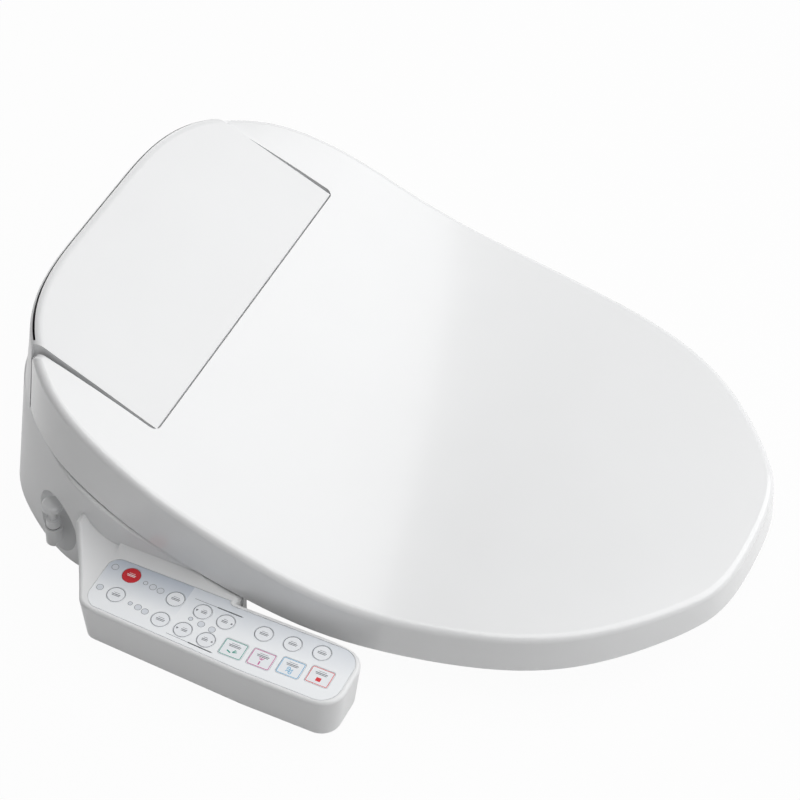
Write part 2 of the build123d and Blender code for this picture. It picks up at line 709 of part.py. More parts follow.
def release_button():
    outer_x = BASE_SIDE_HALF + BUTTON_PROUD
    body = slab(
        outer_x - BUTTON_DEPTH, outer_x, BUTTON_Y - BUTTON_LENGTH / 2, BUTTON_Y + BUTTON_LENGTH / 2,
        BUTTON_Z - BUTTON_HEIGHT / 2, BUTTON_Z + BUTTON_HEIGHT / 2,
    )
    return fillet(body.faces().sort_by(Axis.X)[-1].edges(), 1.5)


def seat_face(inset):
    """Plan outline of the seat."""
    half = SEAT_HALF - inset
    rear = -SEAT_REAR - inset
    corner = SEAT_CORNER - inset
    back = Line((corner - half, rear), (half - corner, rear))
    turn = TangentArc((half - corner, rear), (half, rear - corner), tangent=(1, 0))
    side = Line((half, rear - corner), (half, -LID_WIDEST))
    return mirrored_face(back, [turn, side, front_curve(half, SEAT_TIP - inset, LID_FULLNESS)])


def seat_ring(inset):
    """Upright ring with its opening, walls moved in by inset."""
    hole = Pos(0, OPENING_Y) * Ellipse(OPENING_HALF_WIDTH + inset, OPENING_HALF_LENGTH + inset)
    return upright(seat_face(inset) - hole, BELOW, ABOVE)


def leaf_blocks():
    """Blocks inside the seat's rear wall that the hinge leaves are fixed to."""
    foot_z = SEAT_FOOT_Z + SEAT_LOWER_DEPTH + SEAT_REAR_LIFT
    return both_sides(slab(
        LEAF_OUTER, LEAF_OUTER + LEAF_BLOCK_WIDTH, -LEAF_BLOCK_FRONT, -SEAT_REAR - 1, foot_z, LEAF_BLOCK_TOP
    ))


def seat_hinge_leaves():
    """Flat steel leaves from the seat to the hinge pins."""
    run = (HINGE_Y - LEAF_FOOT_Y, HINGE_Z - LEAF_FOOT_Z)
    length = (run[0] ** 2 + run[1] ** 2) ** 0.5
    across_y = -LEAF_HALF_HEIGHT * run[1] / length
    across_z = LEAF_HALF_HEIGHT * run[0] / length
    strip = Polygon(
        (LEAF_FOOT_Y + across_y, LEAF_FOOT_Z + across_z), (LEAF_FOOT_Y - across_y, LEAF_FOOT_Z - across_z),
        (HINGE_Y - across_y, HINGE_Z - across_z), (HINGE_Y + across_y, HINGE_Z + across_z), align=None,
    )
    eye = rod(LEAF_EYE_RADIUS, LEAF_INNER, LEAF_OUTER, HINGE_Y, HINGE_Z)
    leaf = side_slice(strip, LEAF_INNER, LEAF_OUTER) + eye
    return both_sides(leaf - rod(PIN_RADIUS, LEAF_INNER, LEAF_OUTER, HINGE_Y, HINGE_Z))


def seat_top():
    split = seat_under_line(SEAT_LOWER_DEPTH)
    solid = seat_ring(0) & band(top_line(SEAT_TOP_DROP), split)
    solid = fillet(rim_edges(solid), SEAT_EDGE_RADIUS)
    hollow = seat_ring(SEAT_WALL) & band(top_line(SEAT_TOP_DROP + SEAT_WALL), split)
    blocks = leaf_blocks() & seat_ring(1) & band(top_line(SEAT_TOP_DROP + 1), split)
    return solid - hollow + blocks - seat_hinge_leaves()


def seat_bottom():
    split = seat_under_line(SEAT_LOWER_DEPTH)
    solid = seat_ring(SEAT_LOWER_INSET) & band(split, seat_under_line(0))
    hollow = seat_ring(SEAT_LOWER_INSET + SEAT_LOWER_WALL) & band(split, seat_under_line(SEAT_LOWER_WALL))
    rim = seat_ring(SEAT_WALL + SLIP) & band(split, seat_under_line(SEAT_LOWER_DEPTH - SEAT_LOWER_WALL))
    rim = rim - seat_ring(SEAT_LOWER_INSET)
    return solid - hollow + rim


def seat_heater():
    under_top = SEAT_TOP_DROP + SEAT_WALL
    return seat_ring(HEATER_INSET) & band(top_line(under_top), top_line(under_top + HEATER_FOIL))


def seat_bumpers():
    side_x = (SEAT_HALF + OPENING_HALF_WIDTH) / 2
    front_y = -(SEAT_TIP - OPENING_Y + OPENING_HALF_LENGTH) / 2
    side = post(SEAT_BUMPER_RADIUS, side_x, -SEAT_RISE_START - SEAT_BUMPER_RADIUS, SEAT_GAP, SEAT_FOOT_Z)
    front = post(SEAT_BUMPER_RADIUS, SEAT_BUMPER_RADIUS * 3, front_y, SEAT_GAP, SEAT_FOOT_Z)
    return both_sides(side + front)


def lid_bumpers():
    top = LID_FRONT_Z - LID_WALL
    foot = LID_FRONT_Z - SEAT_TOP_DROP + SEAT_GAP
    side_x = (SEAT_HALF + OPENING_HALF_WIDTH) / 2
    pads = post(LID_BUMPER_RADIUS, side_x, -RISE_START - SEAT_BUMPER_RADIUS, foot, top)
    pads = pads + post(LID_BUMPER_RADIUS, SEAT_BUMPER_RADIUS * 3, OPENING_Y - OPENING_HALF_LENGTH - 18, foot, top)
    return both_sides(pads)


def seat_hinge_pins():
    start = DAMPER_END_X - DAMPER_LENGTH + TRAY_WALL
    return both_sides(rod(PIN_RADIUS, start, PIN_END_X, HINGE_Y, HINGE_Z))


def seat_dampers():
    start = DAMPER_END_X - DAMPER_LENGTH
    body = rod(DAMPER_RADIUS, start, DAMPER_END_X, HINGE_Y, HINGE_Z)
    return both_sides(body - rod(PIN_RADIUS + FIT, start + TRAY_WALL, DAMPER_END_X, HINGE_Y, HINGE_Z))


def arm_face():
    """Plan of the control arm, root included."""
    root_x = -BASE_SIDE_HALF + ARM_ROOT_DEPTH
    shoulder = (-ARM_OUTER_X + ARM_BOW, -ARM_SHOULDER_Y)
    outline = Polygon(
        (root_x, -ARM_ROOT_Y), shoulder, (-ARM_OUTER_X, -ARM_BOW_Y), (-ARM_OUTER_X, -ARM_END_Y),
        (-ARM_INNER_X, -ARM_END_Y), (-ARM_INNER_X, -ARM_WING_END), (root_x, -ARM_WING_END), align=None,
    )
    outline = fillet(outline.vertices().sort_by_distance(shoulder)[0], ARM_SHOULDER_RADIUS)
    return fillet(outline.vertices().group_by(Axis.Y)[0], ARM_END_RADIUS)


def beside_base(solid):
    """Keep what lies outside the base wall and clear of the lid's edge."""
    lid_zone = slab(-LID_WIDTH / 2 - SKIRT_GAP, FAR, -FAR, FAR, BELOW, ABOVE)
    lid_zone = lid_zone - across(under(skirt_line(SKIRT_GAP)), FAR)
    return solid - lid_zone - base_body(-ARM_JOINT_GAP)


def arm_solid():
    """Arm before it is hollowed: drafted sides, ramp up to the base, cove along it."""
    ridge_z = ARM_TOP_Z + ARM_RAMP_RISE
    grown = offset(arm_face(), ARM_RAMP_RISE * tan(radians(ARM_DRAFT)))
    block = extrude(Pos(0, 0, ridge_z) * grown, amount=ARM_BOTTOM_Z - ridge_z, taper=ARM_DRAFT)
    flat = Line((-ARM_END_Y - ARM_END_RADIUS, ARM_TOP_Z), (-ARM_RAMP_Y, ARM_TOP_Z))
    ramp = TangentArc(flat @ 1, (-ARM_RIDGE_Y, ridge_z), tangent=(1, 0))
    block = block & across(under([flat, ramp]), FAR)
    block = fillet(rim_edges(block), ARM_EDGE_RADIUS)
    foot_z = ARM_TOP_Z - ARM_EDGE_RADIUS
    inner_x = -BASE_SIDE_HALF + WING_WALL
    cove_foot = (-BASE_SIDE_HALF - ARM_COVE, ARM_TOP_Z)
    cove_top = (inner_x, ARM_TOP_Z + ARM_COVE + WING_WALL)
    cove = make_face([
        *TangentArc(cove_foot, cove_top, tangent=(1, 0)).edges(),
        *Polyline(cove_top, (inner_x, foot_z), (cove_foot[0], foot_z), cove_foot).edges(),
    ])
    cove = Pos(0, -ARM_RAMP_Y, 0) * extrude(Plane.XZ * cove, amount=ARM_COVE_END - ARM_RAMP_Y)
    return beside_base(block + cove)


def arm_room(margin, z0, z1):
    """Space inside the arm, or a piece that fits it with a margin."""
    plan = offset(arm_face(), -ARM_WALL - ARM_ROOM_DRAFT - margin)
    room = upright(plan, z0, z1)
    return room & slab(-FAR, -ARM_INNER_X - margin, -FAR, -ARM_ROOM_REAR - margin, BELOW, ABOVE)


def overlay_face(margin):
    """Plan of the printed panel."""
    plan = offset(arm_face(), -OVERLAY_MARGIN - margin)
    inner_x = -ARM_INNER_X - margin
    limit = Polygon(
        (-FAR, -OVERLAY_REAR_Y - margin), (inner_x, -OVERLAY_REAR_Y - margin), (inner_x, -FAR), (-FAR, -FAR),
        align=None,
    )
    turn_y = -OVERLAY_REAR_Y - OVERLAY_TURN
    turn = Pos(-OVERLAY_TURN_X, turn_y) * Circle(OVERLAY_TURN - margin)
    beyond = Polygon((-FAR, turn_y), (-OVERLAY_TURN_X, turn_y), (-OVERLAY_TURN_X, 0), (-FAR, 0), align=None)
    plan = (plan & limit) - (beyond - turn)
    rear = plan.vertices().group_by(Axis.Y)[-1]
    return fillet(rear.sort_by(Axis.X)[-1], OVERLAY_CORNER)


def key_face(name, grow):
    """Plan of one key, grown by a clearance."""
    if name in ROUND_KEYS:
        return Pos(*ROUND_KEYS[name]) * Circle(KEY_RADIUS + grow)
    face = RectangleRounded(SQUARE_KEY_X + 2 * grow, SQUARE_KEY_Y + 2 * grow, SQUARE_KEY_CORNER + grow)
    return Pos(*SQUARE_KEYS[name]) * face


def all_keys():
    return [*ROUND_KEYS, *SQUARE_KEYS]


def light_rods(grow, z0, z1):
    """Rods of the indicator lights, grown by a clearance."""
    rods = Part()
    for places, radius in ((LIGHTS, LIGHT_RADIUS), (SMALL_LIGHTS, SMALL_LIGHT_RADIUS)):
        for x, y in places:
            rods = rods + post(radius + grow, x, y, z0, z1)
    return rods


def key_holes(z0, z1):
    holes = Part()
    for name in all_keys():
        holes = holes + upright(key_face(name, SLIP), z0, z1)
    return holes


def arm_upper_case():
    room = arm_room(0, BELOW, CASE_INSIDE)
    for x, y in ARM_BOSSES:
        room = room - post(ARM_BOSS_RADIUS, x, y, ARM_BOTTOM_Z + ARM_WALL + SLIP, ABOVE)
        room = room + post(ARM_SCREW_RADIUS, x, y, BELOW, BOARD_UNDER)
    case = arm_solid() - room
    case = case - upright(overlay_face(0), ARM_TOP_Z - OVERLAY_THICKNESS, ABOVE)
    case = case - key_holes(KEY_BOTTOM - KEY_TRAVEL - SLIP, ABOVE)
    return case - light_rods(FIT, BOARD_TOP, ABOVE)


def arm_lower_case():
    plate = arm_room(SLIP, ARM_BOTTOM_Z, ARM_BOTTOM_Z + ARM_WALL)
    for x, y in ARM_BOSSES:
        plate = plate - post(ARM_SCREW_RADIUS + SLIP, x, y, BELOW, ABOVE)
        plate = plate - post(2 * ARM_SCREW_RADIUS + SLIP, x, y, BELOW, ARM_BOTTOM_Z + ARM_WALL / 2)
    return plate


def arm_screws():
    screws = Part()
    for x, y in ARM_BOSSES:
        head_top = ARM_BOTTOM_Z + ARM_WALL / 2
        screws = screws + post(2 * ARM_SCREW_RADIUS, x, y, ARM_BOTTOM_Z, head_top)
        screws = screws + post(ARM_SCREW_RADIUS - FIT, x, y, head_top, BOARD_UNDER - ARM_WALL)
    return screws


def boss_holes():
    holes = Part()
    for x, y in ARM_BOSSES:
        holes = holes + post(ARM_BOSS_RADIUS + SLIP, x, y, BELOW, ABOVE)
    return holes


def panel_overlay():
    sheet = upright(overlay_face(OVERLAY_GAP), ARM_TOP_Z - OVERLAY_THICKNESS, ARM_TOP_Z)
    return sheet - key_holes(BELOW, ABOVE) - light_rods(FIT, BELOW, ABOVE)


def keypad_mat():
    return arm_room(SLIP, BOARD_TOP, MAT_TOP) - light_rods(SLIP, BELOW, ABOVE) - boss_holes()


def panel_board():
    return arm_room(SLIP, BOARD_UNDER, BOARD_TOP) - boss_holes()


def indicator_lights():
    return light_rods(0, BOARD_TOP, ARM_TOP_Z)


def key_cap(name):
    cap = upright(key_face(name, 0), KEY_BOTTOM, ARM_TOP_Z)
    return fillet(cap.faces().sort_by(Axis.Z)[-1].edges(), KEY_EDGE)


def drain_sleeve():
    bore = DRAIN_STEM_RADIUS + 2 * FIT
    low = DRAIN_BOSS_Z - DRAIN_SLEEVE_DEPTH
    return post(bore + DRAIN_SLEEVE_WALL, DRAIN_X, DRAIN_Y, low, DRAIN_BOSS_Z) - post(
        bore, DRAIN_X, DRAIN_Y, low, DRAIN_BOSS_Z
    )


def drain_plug():
    collar_z = DRAIN_BOSS_Z + 3 * SLIP
    neck_z = collar_z + DRAIN_COLLAR
    head_z = neck_z + DRAIN_NECK
    stem = post(DRAIN_STEM_RADIUS, DRAIN_X, DRAIN_Y, DRAIN_BOSS_Z - DRAIN_SLEEVE_DEPTH + 1, collar_z)
    collar = post(DRAIN_COLLAR_RADIUS, DRAIN_X, DRAIN_Y, collar_z, neck_z)
    neck = post(DRAIN_NECK_RADIUS, DRAIN_X, DRAIN_Y, neck_z, head_z)
    head = post(DRAIN_HEAD_RADIUS, DRAIN_X, DRAIN_Y, head_z, head_z + DRAIN_HEAD)
    head = fillet(head.faces().sort_by(Axis.Z)[-1].edges(), DRAIN_HEAD * 0.4)
    return stem + collar + neck + head


def water_tank():
    tank = slab(
        TANK_X, TANK_X + TANK_LENGTH, TANK_FRONT, TANK_FRONT + TANK_DEPTH, INNER_FLOOR, INNER_FLOOR + TANK_HEIGHT
    )
    return fillet(tank.edges().filter_by(Axis.Z), TANK_ROUND)


def tank_heater():
    x = TANK_X + TANK_LENGTH / 2
    y = TANK_FRONT + TANK_DEPTH / 2
    seat = INNER_FLOOR + TANK_HEIGHT
    flange = post(TANK_HEATER_RADIUS, x, y, seat, seat + TANK_HEATER_FLANGE)
    top = seat + TANK_HEATER_FLANGE + TANK_HEATER_CAP
    return flange + post(TANK_HEATER_RADIUS * 0.6, x, y, seat, top)


def solenoid_valve():
    foot = slab(
        VALVE_X, VALVE_X + VALVE_LENGTH, INLET_Y - VALVE_WIDTH / 2, INLET_Y + VALVE_WIDTH / 2,
        INNER_FLOOR, INLET_Z + VALVE_HEIGHT / 2,
    )
    coil_z = INLET_Z + VALVE_HEIGHT / 2
    return foot + post(COIL_RADIUS, VALVE_X + VALVE_LENGTH / 2, INLET_Y, coil_z, coil_z + COIL_HEIGHT)


def inlet_fitting():
    start = VALVE_X + VALVE_LENGTH
    collar = rod(INLET_RADIUS + INLET_COLLAR, start, INLET_SHOULDER_X, INLET_Y, INLET_Z)
    pipe = collar + rod(INLET_RADIUS, INLET_SHOULDER_X, INLET_REACH, INLET_Y, INLET_Z)
    return pipe - rod(INLET_BORE, start + TRAY_WALL, INLET_REACH, INLET_Y, INLET_Z)


def inlet_strainer():
    end = INLET_REACH - STRAINER_WALL
    outer = rod(INLET_BORE - SLIP, end - STRAINER_LENGTH, end, INLET_Y, INLET_Z)
    return outer - rod(INLET_BORE - SLIP - STRAINER_WALL, end - STRAINER_LENGTH + 1, end, INLET_Y, INLET_Z)


def inner_hoses():
    tank_end = TANK_X + TANK_LENGTH
    feed = rod(HOSE_RADIUS, tank_end, VALVE_X, INLET_Y, INLET_Z)
    tank_x = TANK_X + TANK_LENGTH / 4
    tank_rear = TANK_FRONT + TANK_DEPTH
    path = FilletPolyline(
        (tank_x, tank_rear, HOSE_Z), (tank_x, DIVERTER_Y, HOSE_Z), (DIVERTER_WIDTH / 2, DIVERTER_Y, HOSE_Z),
        radius=HOSE_BEND,
    )
    start = Plane(origin=path @ 0, z_dir=path % 0)
    return feed + sweep(start * Circle(HOSE_RADIUS), path=path)


def diverter_valve():
    half = DIVERTER_WIDTH / 2
    body = slab(
        -half, half, DIVERTER_Y - DIVERTER_DEPTH / 2, DIVERTER_Y + DIVERTER_DEPTH / 2,
        INNER_FLOOR, INNER_FLOOR + DIVERTER_HEIGHT,
    )
    return chamfer(body.edges().filter_by(Axis.Z), BLOCK_CHAMFER)


def slope_plane():
    """Plane at the nozzle tip: Z runs back along the nozzle, -Y is away from the bowl."""
    turn = radians(NOZZLE_SLOPE)
    return Plane(origin=(0, NOZZLE_TIP_Y, NOZZLE_TIP_Z), x_dir=(1, 0, 0), z_dir=(0, cos(turn), sin(turn)))


def sloped_slab(x0, x1, low, high, start, end):
    """Box along the nozzle slope; low and high are heights above the nozzle axis."""
    return slope_plane() * slab(x0, x1, -high, -low, start, end)


def sloped_rod(radius, x, start, end):
    return slope_plane() * post(radius, x, 0, start, end)


def rack_tooth(at):
    """One rack tooth, centred at a distance from the nozzle tip."""
    tip_half = TOOTH_HALF - ADDENDUM * TOOTH_SLOPE
    root_half = TOOTH_HALF + DEDENDUM * TOOTH_SLOPE
    tip = -PITCH_LINE - ADDENDUM
    profile = Polygon(
        (-RACK_BED + 0.1, at - root_half), (-RACK_BED, at - root_half), (tip, at - tip_half),
        (tip, at + tip_half), (-RACK_BED, at + root_half), (-RACK_BED + 0.1, at + root_half), align=None,
    )
    return extrude(Plane.YZ * profile, amount=RACK_WIDTH / 2, both=True)


def nozzle(side):
    """Wash nozzle with its rack, on one side of the middle."""
    tube = Pos(0, 0, NOZZLE_LENGTH / 2) * Cylinder(NOZZLE_RADIUS, NOZZLE_LENGTH)
    tube = fillet(tube.faces().sort_by(Axis.Z)[0].edges(), NOZZLE_RADIUS * 0.6)
    tube = tube + slab(-RACK_WIDTH / 2, RACK_WIDTH / 2, -RACK_BED, 0, RACK_START, NOZZLE_LENGTH)
    for count in range(-1, RACK_TEETH - 1):
        tube = tube + rack_tooth(PINION_AT + count * PITCH)
    jet = Pos(0, -NOZZLE_RADIUS, RACK_START / 2) * Rot(90, 0, 0) * Cylinder(NOZZLE_JET_RADIUS, NOZZLE_RADIUS)
    return slope_plane() * (Pos(side * NOZZLE_X, 0, 0) * (tube - jet))


def pinion_spot():
    """Centre of the pinions in side view."""
    spot = slope_plane().from_local_coords(Vector(0, -PINION_LIFT, PINION_AT))
    return spot.Y, spot.Z


def pinion(side):
    """Drive pinion on its shaft, one gap between teeth facing the rack."""
    tip_radius = PITCH_RADIUS + ADDENDUM
    root_radius = PITCH_RADIUS - DEDENDUM - 0.2
    gear = Circle(root_radius)
    tooth = Polygon(
        (root_radius - 0.5, -TOOTH_HALF), (root_radius, -TOOTH_HALF), (PITCH_RADIUS, -TOOTH_HALF),
        (tip_radius, -TOOTH_HALF * 0.55), (tip_radius, TOOTH_HALF * 0.55), (PITCH_RADIUS, TOOTH_HALF),
        (root_radius, TOOTH_HALF), (root_radius - 0.5, TOOTH_HALF), align=None,
    )
    step = 360 / PINION_TEETH
    wheel = extrude(gear, amount=RACK_WIDTH / 2, both=True)
    for count in range(PINION_TEETH):
        wheel = wheel + extrude(Rot(0, 0, (count + 0.5) * step) * tooth, amount=RACK_WIDTH / 2, both=True)
    y, z = pinion_spot()
    x = side * NOZZLE_X
    spun = Rot(NOZZLE_SLOPE, 0, 0) * Rot(0, 90, 0) * wheel
    shaft_end = side * (BRACKET_X + BRACKET + MOTOR_LENGTH / 2)
    shaft = rod(SHAFT_RADIUS, min(x, shaft_end), max(x, shaft_end), y, z)
    return Pos(x, y, z) * spun + shaft


def nozzle_motors():
    y, z = pinion_spot()
    start = BRACKET_X + BRACKET
    body = rod(MOTOR_RADIUS, start, start + MOTOR_LENGTH, y, z)
    bore = rod(SHAFT_RADIUS + FIT, start, start + MOTOR_LENGTH / 2 + SLIP, y, z)
    return both_sides(body - bore)


def nozzle_cradle():
    y, z = pinion_spot()
    trough = sloped_slab(-CRADLE_HALF, CRADLE_HALF, -CRADLE_DEPTH - 1, -1, CRADLE_START, NOZZLE_LENGTH)
    for leg_y in (TANK_FRONT / 2, TAIL_Y):
        lift = (leg_y - NOZZLE_TIP_Y) * sin(radians(NOZZLE_SLOPE)) / cos(radians(NOZZLE_SLOPE))
        leg_top = NOZZLE_TIP_Z + lift - CRADLE_DEPTH
        trough = trough + slab(-CRADLE_HALF, CRADLE_HALF, leg_y - 3, leg_y + 3, INNER_FLOOR, leg_top)
    bracket = sloped_slab(
        BRACKET_X, BRACKET_X + BRACKET, -CRADLE_DEPTH - 1, PINION_LIFT + MOTOR_RADIUS * 0.8,
        PINION_AT - MOTOR_RADIUS * 0.6, CRADLE_START + CRADLE_DEPTH,
    )
    bracket = bracket - rod(SHAFT_RADIUS + SLIP, BRACKET_X - 1, BRACKET_X + BRACKET + 1, y, z)
    cradle = trough + both_sides(bracket)
    grooves = sloped_rod(NOZZLE_RADIUS + SLIP, NOZZLE_X, -NOZZLE_LENGTH, 2 * NOZZLE_LENGTH)
    return cradle - both_sides(grooves)


def dryer_scroll():
    drum = post(SCROLL_RADIUS, FAN_X, FAN_Y, INNER_FLOOR, SCROLL_TOP)
    room = post(SCROLL_RADIUS - SCROLL_WALL, FAN_X, FAN_Y, INNER_FLOOR + SCROLL_WALL, SCROLL_TOP - SCROLL_WALL)
    mouth = post(SCROLL_INLET, FAN_X, FAN_Y, SCROLL_TOP - SCROLL_WALL, SCROLL_TOP)
    bar = slab(
        FAN_X - SCROLL_INLET - 1, FAN_X + SCROLL_INLET + 1, FAN_Y - IMPELLER_HUB, FAN_Y + IMPELLER_HUB,
        SCROLL_TOP - SCROLL_WALL, SCROLL_TOP,
    )
    bore = post(FAN_SHAFT_RADIUS + SLIP, FAN_X, FAN_Y, SCROLL_TOP - 2 * SCROLL_WALL, SCROLL_TOP)
    half = DUCT_WIDTH / 2 - SCROLL_WALL
    outlet = slab(
        DUCT_X - half, DUCT_X + half, FAN_Y - SCROLL_RADIUS, FAN_Y - SCROLL_INLET,
        DUCT_LOW + SCROLL_WALL, DUCT_HIGH - SCROLL_WALL,
    )
    return drum - room - mouth + bar - bore - outlet


def dryer_duct():
    half = DUCT_WIDTH / 2
    outer = slab(DUCT_X - half, DUCT_X + half, WALL_INSIDE, FAN_Y, DUCT_LOW, DUCT_HIGH)
    inner = slab(
        DUCT_X - half + SCROLL_WALL, DUCT_X + half - SCROLL_WALL, -FAR, FAN_Y,
        DUCT_LOW + SCROLL_WALL, DUCT_HIGH - SCROLL_WALL,
    )
    tube = outer - inner - post(SCROLL_RADIUS, FAN_X, FAN_Y, BELOW, ABOVE)
    return tube & slab(-FAR, FAR, WALL_INSIDE, FAN_Y - SCROLL_WALL, BELOW, ABOVE)


def dryer_impeller():
    low = INNER_FLOOR + 2 * SCROLL_WALL
    disc = post(IMPELLER_RADIUS, FAN_X, FAN_Y, low, low + SCROLL_WALL)
    hub = post(IMPELLER_HUB, FAN_X, FAN_Y, low, low + IMPELLER_HEIGHT)
    shaft = post(FAN_SHAFT_RADIUS, FAN_X, FAN_Y, low, SCROLL_TOP + FAN_MOTOR_HEIGHT / 2)
    wheel = disc + hub + shaft
    half = BLADE_THICKNESS / 2
    blade = slab(BLADE_INNER, IMPELLER_RADIUS - half, -half, half, low, low + IMPELLER_HEIGHT)
    for count in range(IMPELLER_BLADES):
        wheel = wheel + Pos(FAN_X, FAN_Y, 0) * Rot(0, 0, count * 360 / IMPELLER_BLADES) * blade
    return wheel


def dryer_motor():
    body = post(FAN_MOTOR_RADIUS, FAN_X, FAN_Y, SCROLL_TOP, SCROLL_TOP + FAN_MOTOR_HEIGHT)
    bore = post(FAN_SHAFT_RADIUS + FIT, FAN_X, FAN_Y, SCROLL_TOP, SCROLL_TOP + FAN_MOTOR_HEIGHT / 2 + SLIP)
    return body - bore


def dryer_flap():
    half = DUCT_WIDTH / 2
    barrel = rod(FLAP_BARREL, DUCT_X - half, DUCT_X + half, FLAP_Y, FLAP_AXIS_Z)
    pins = rod(FLAP_PIN, DUCT_X - half - FLAP_EAR, DUCT_X + half + FLAP_EAR, FLAP_Y, FLAP_AXIS_Z)
    leaf = slab(
        DUCT_X - half, DUCT_X + half, FLAP_Y - FLAP_THICKNESS / 2, FLAP_Y + FLAP_THICKNESS / 2,
        DUCT_LOW, FLAP_AXIS_Z,
    )
    return barrel + pins + leaf


def control_board():
    half = MAIN_BOARD_LENGTH / 2
    wide = MAIN_BOARD_WIDTH / 2
    top = MAIN_BOARD_Z + BOARD_THICKNESS
    board = slab(
        MAIN_BOARD_X - half, MAIN_BOARD_X + half, MAIN_BOARD_Y - wide, MAIN_BOARD_Y + wide, MAIN_BOARD_Z, top
    )
    sink_x = MAIN_BOARD_X - half + PART_MARGIN
    sink = slab(
        sink_x, sink_x + SINK_WIDTH, MAIN_BOARD_Y - SINK_WIDTH / 2, MAIN_BOARD_Y + SINK_WIDTH / 2,
        top, top + SINK_HEIGHT,
    )
    chip_x = sink_x + SINK_WIDTH + PART_MARGIN
    chip = slab(
        chip_x, chip_x + CHIP_WIDTH / 2, MAIN_BOARD_Y - CHIP_WIDTH / 2, MAIN_BOARD_Y + CHIP_WIDTH / 2,
        top, top + CHIP_HEIGHT,
    )
    return board + sink + chip


def power_transformer():
    seat = MAIN_BOARD_Z + BOARD_THICKNESS
    half = TRANSFORMER_LENGTH / 2
    wide = TRANSFORMER_WIDTH / 2
    core = slab(
        TRANSFORMER_X - half, TRANSFORMER_X + half, MAIN_BOARD_Y - wide, MAIN_BOARD_Y + wide,
        seat, seat + TRANSFORMER_HEIGHT,
    )
    return chamfer(core.edges().filter_by(Axis.Z), BLOCK_CHAMFER)


def cord_gland():
    wall = Pos(GLAND_X, GLAND_Y, GLAND_Z) * Rot(-90, 0, 0)
    body = post(GLAND_RADIUS, 0, 0, -2 * TRAY_WALL, GLAND_REACH)
    flange = post(GLAND_FLANGE, 0, 0, 0, TRAY_WALL)
    return wall * (body + flange - post(GLAND_BORE, 0, 0, -FAR, FAR))


def cover_screws():
    screws = Part()
    for (x, y), top in ((FRONT_SCREW, FRONT_SPLIT_Z), (REAR_SCREW, PARTING_Z)):
        screws = screws + post(SCREW_HEAD_RADIUS, x, y, FLOOR_UNDER - SCREW_HEAD, FLOOR_UNDER)
        screws = screws + post(SCREW_RADIUS, x, y, FLOOR_UNDER, top + TAB_HEIGHT / 2)
    return both_sides(screws)


def write(name, part):
    export_step(part, os.path.join("parts", name + ".step"))


def main():
    os.makedirs("parts", exist_ok=True)
    pieces = [
        lid_shell, lid_bumpers, seat_hinge_leaves, rear_cover, base_tray, mounting_plate, release_button,
        seat_top, seat_bottom, seat_heater, seat_bumpers, seat_hinge_pins, seat_dampers,
        arm_upper_case, arm_lower_case, arm_screws, panel_overlay, keypad_mat, panel_board, indicator_lights,
        drain_sleeve, drain_plug, water_tank, tank_heater, solenoid_valve, inlet_fitting, inlet_strainer,
        inner_hoses, diverter_valve, nozzle_cradle, nozzle_motors, dryer_scroll, dryer_duct, dryer_impeller,
        dryer_motor, dryer_flap, control_board, power_transformer, cord_gland, cover_screws,
    ]
    for piece in pieces:
        write(piece.__name__, piece())
    for name, side in (("rear_wash_nozzle", 1), ("front_wash_nozzle", -1)):
        write(name, nozzle(side))
    for name, side in (("rear_nozzle_pinion", 1), ("front_nozzle_pinion", -1)):
        write(name, pinion(side))
    for name in all_keys():
        write(name, key_cap(name))


if __name__ == "__main__":
    main()
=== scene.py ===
import json
from math import cos, degrees, radians, sin

import bmesh
import bpy
from bpy.props import FloatProperty, FloatVectorProperty, PointerProperty
from bpy.types import Operator, Panel, PropertyGroup
from mathutils import Matrix, Vector


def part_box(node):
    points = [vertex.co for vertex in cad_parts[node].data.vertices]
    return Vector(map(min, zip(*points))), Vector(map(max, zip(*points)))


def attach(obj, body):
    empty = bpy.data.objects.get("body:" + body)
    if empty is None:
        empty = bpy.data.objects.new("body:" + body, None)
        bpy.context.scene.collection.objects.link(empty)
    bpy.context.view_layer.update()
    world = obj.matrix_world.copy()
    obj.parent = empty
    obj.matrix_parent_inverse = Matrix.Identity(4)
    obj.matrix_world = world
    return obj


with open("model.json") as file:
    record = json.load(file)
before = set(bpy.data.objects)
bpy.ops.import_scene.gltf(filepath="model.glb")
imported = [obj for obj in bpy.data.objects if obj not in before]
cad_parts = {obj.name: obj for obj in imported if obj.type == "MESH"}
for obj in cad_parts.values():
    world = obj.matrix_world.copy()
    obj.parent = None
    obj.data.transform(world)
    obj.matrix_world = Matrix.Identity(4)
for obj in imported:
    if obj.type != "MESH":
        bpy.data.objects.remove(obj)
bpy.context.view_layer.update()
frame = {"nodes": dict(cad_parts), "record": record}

bl_info = {
    "name": "Electric Bidet Seat",
    "version": (1, 0, 0),
    "blender": (4, 5, 0),
    "location": "View3D > Sidebar > Bidet",
    "description": "Finishes, panel prints and stage for an electric bidet seat",
    "category": "Object",
}

MM = 0.001
SLOTS = {part["node"]: part["material_slot"] for part in frame["record"]["subparts"]}
BODIES = {node: body for body, nodes in frame["record"]["behaviour"]["bodies"].items() for node in nodes}


# Shader maths

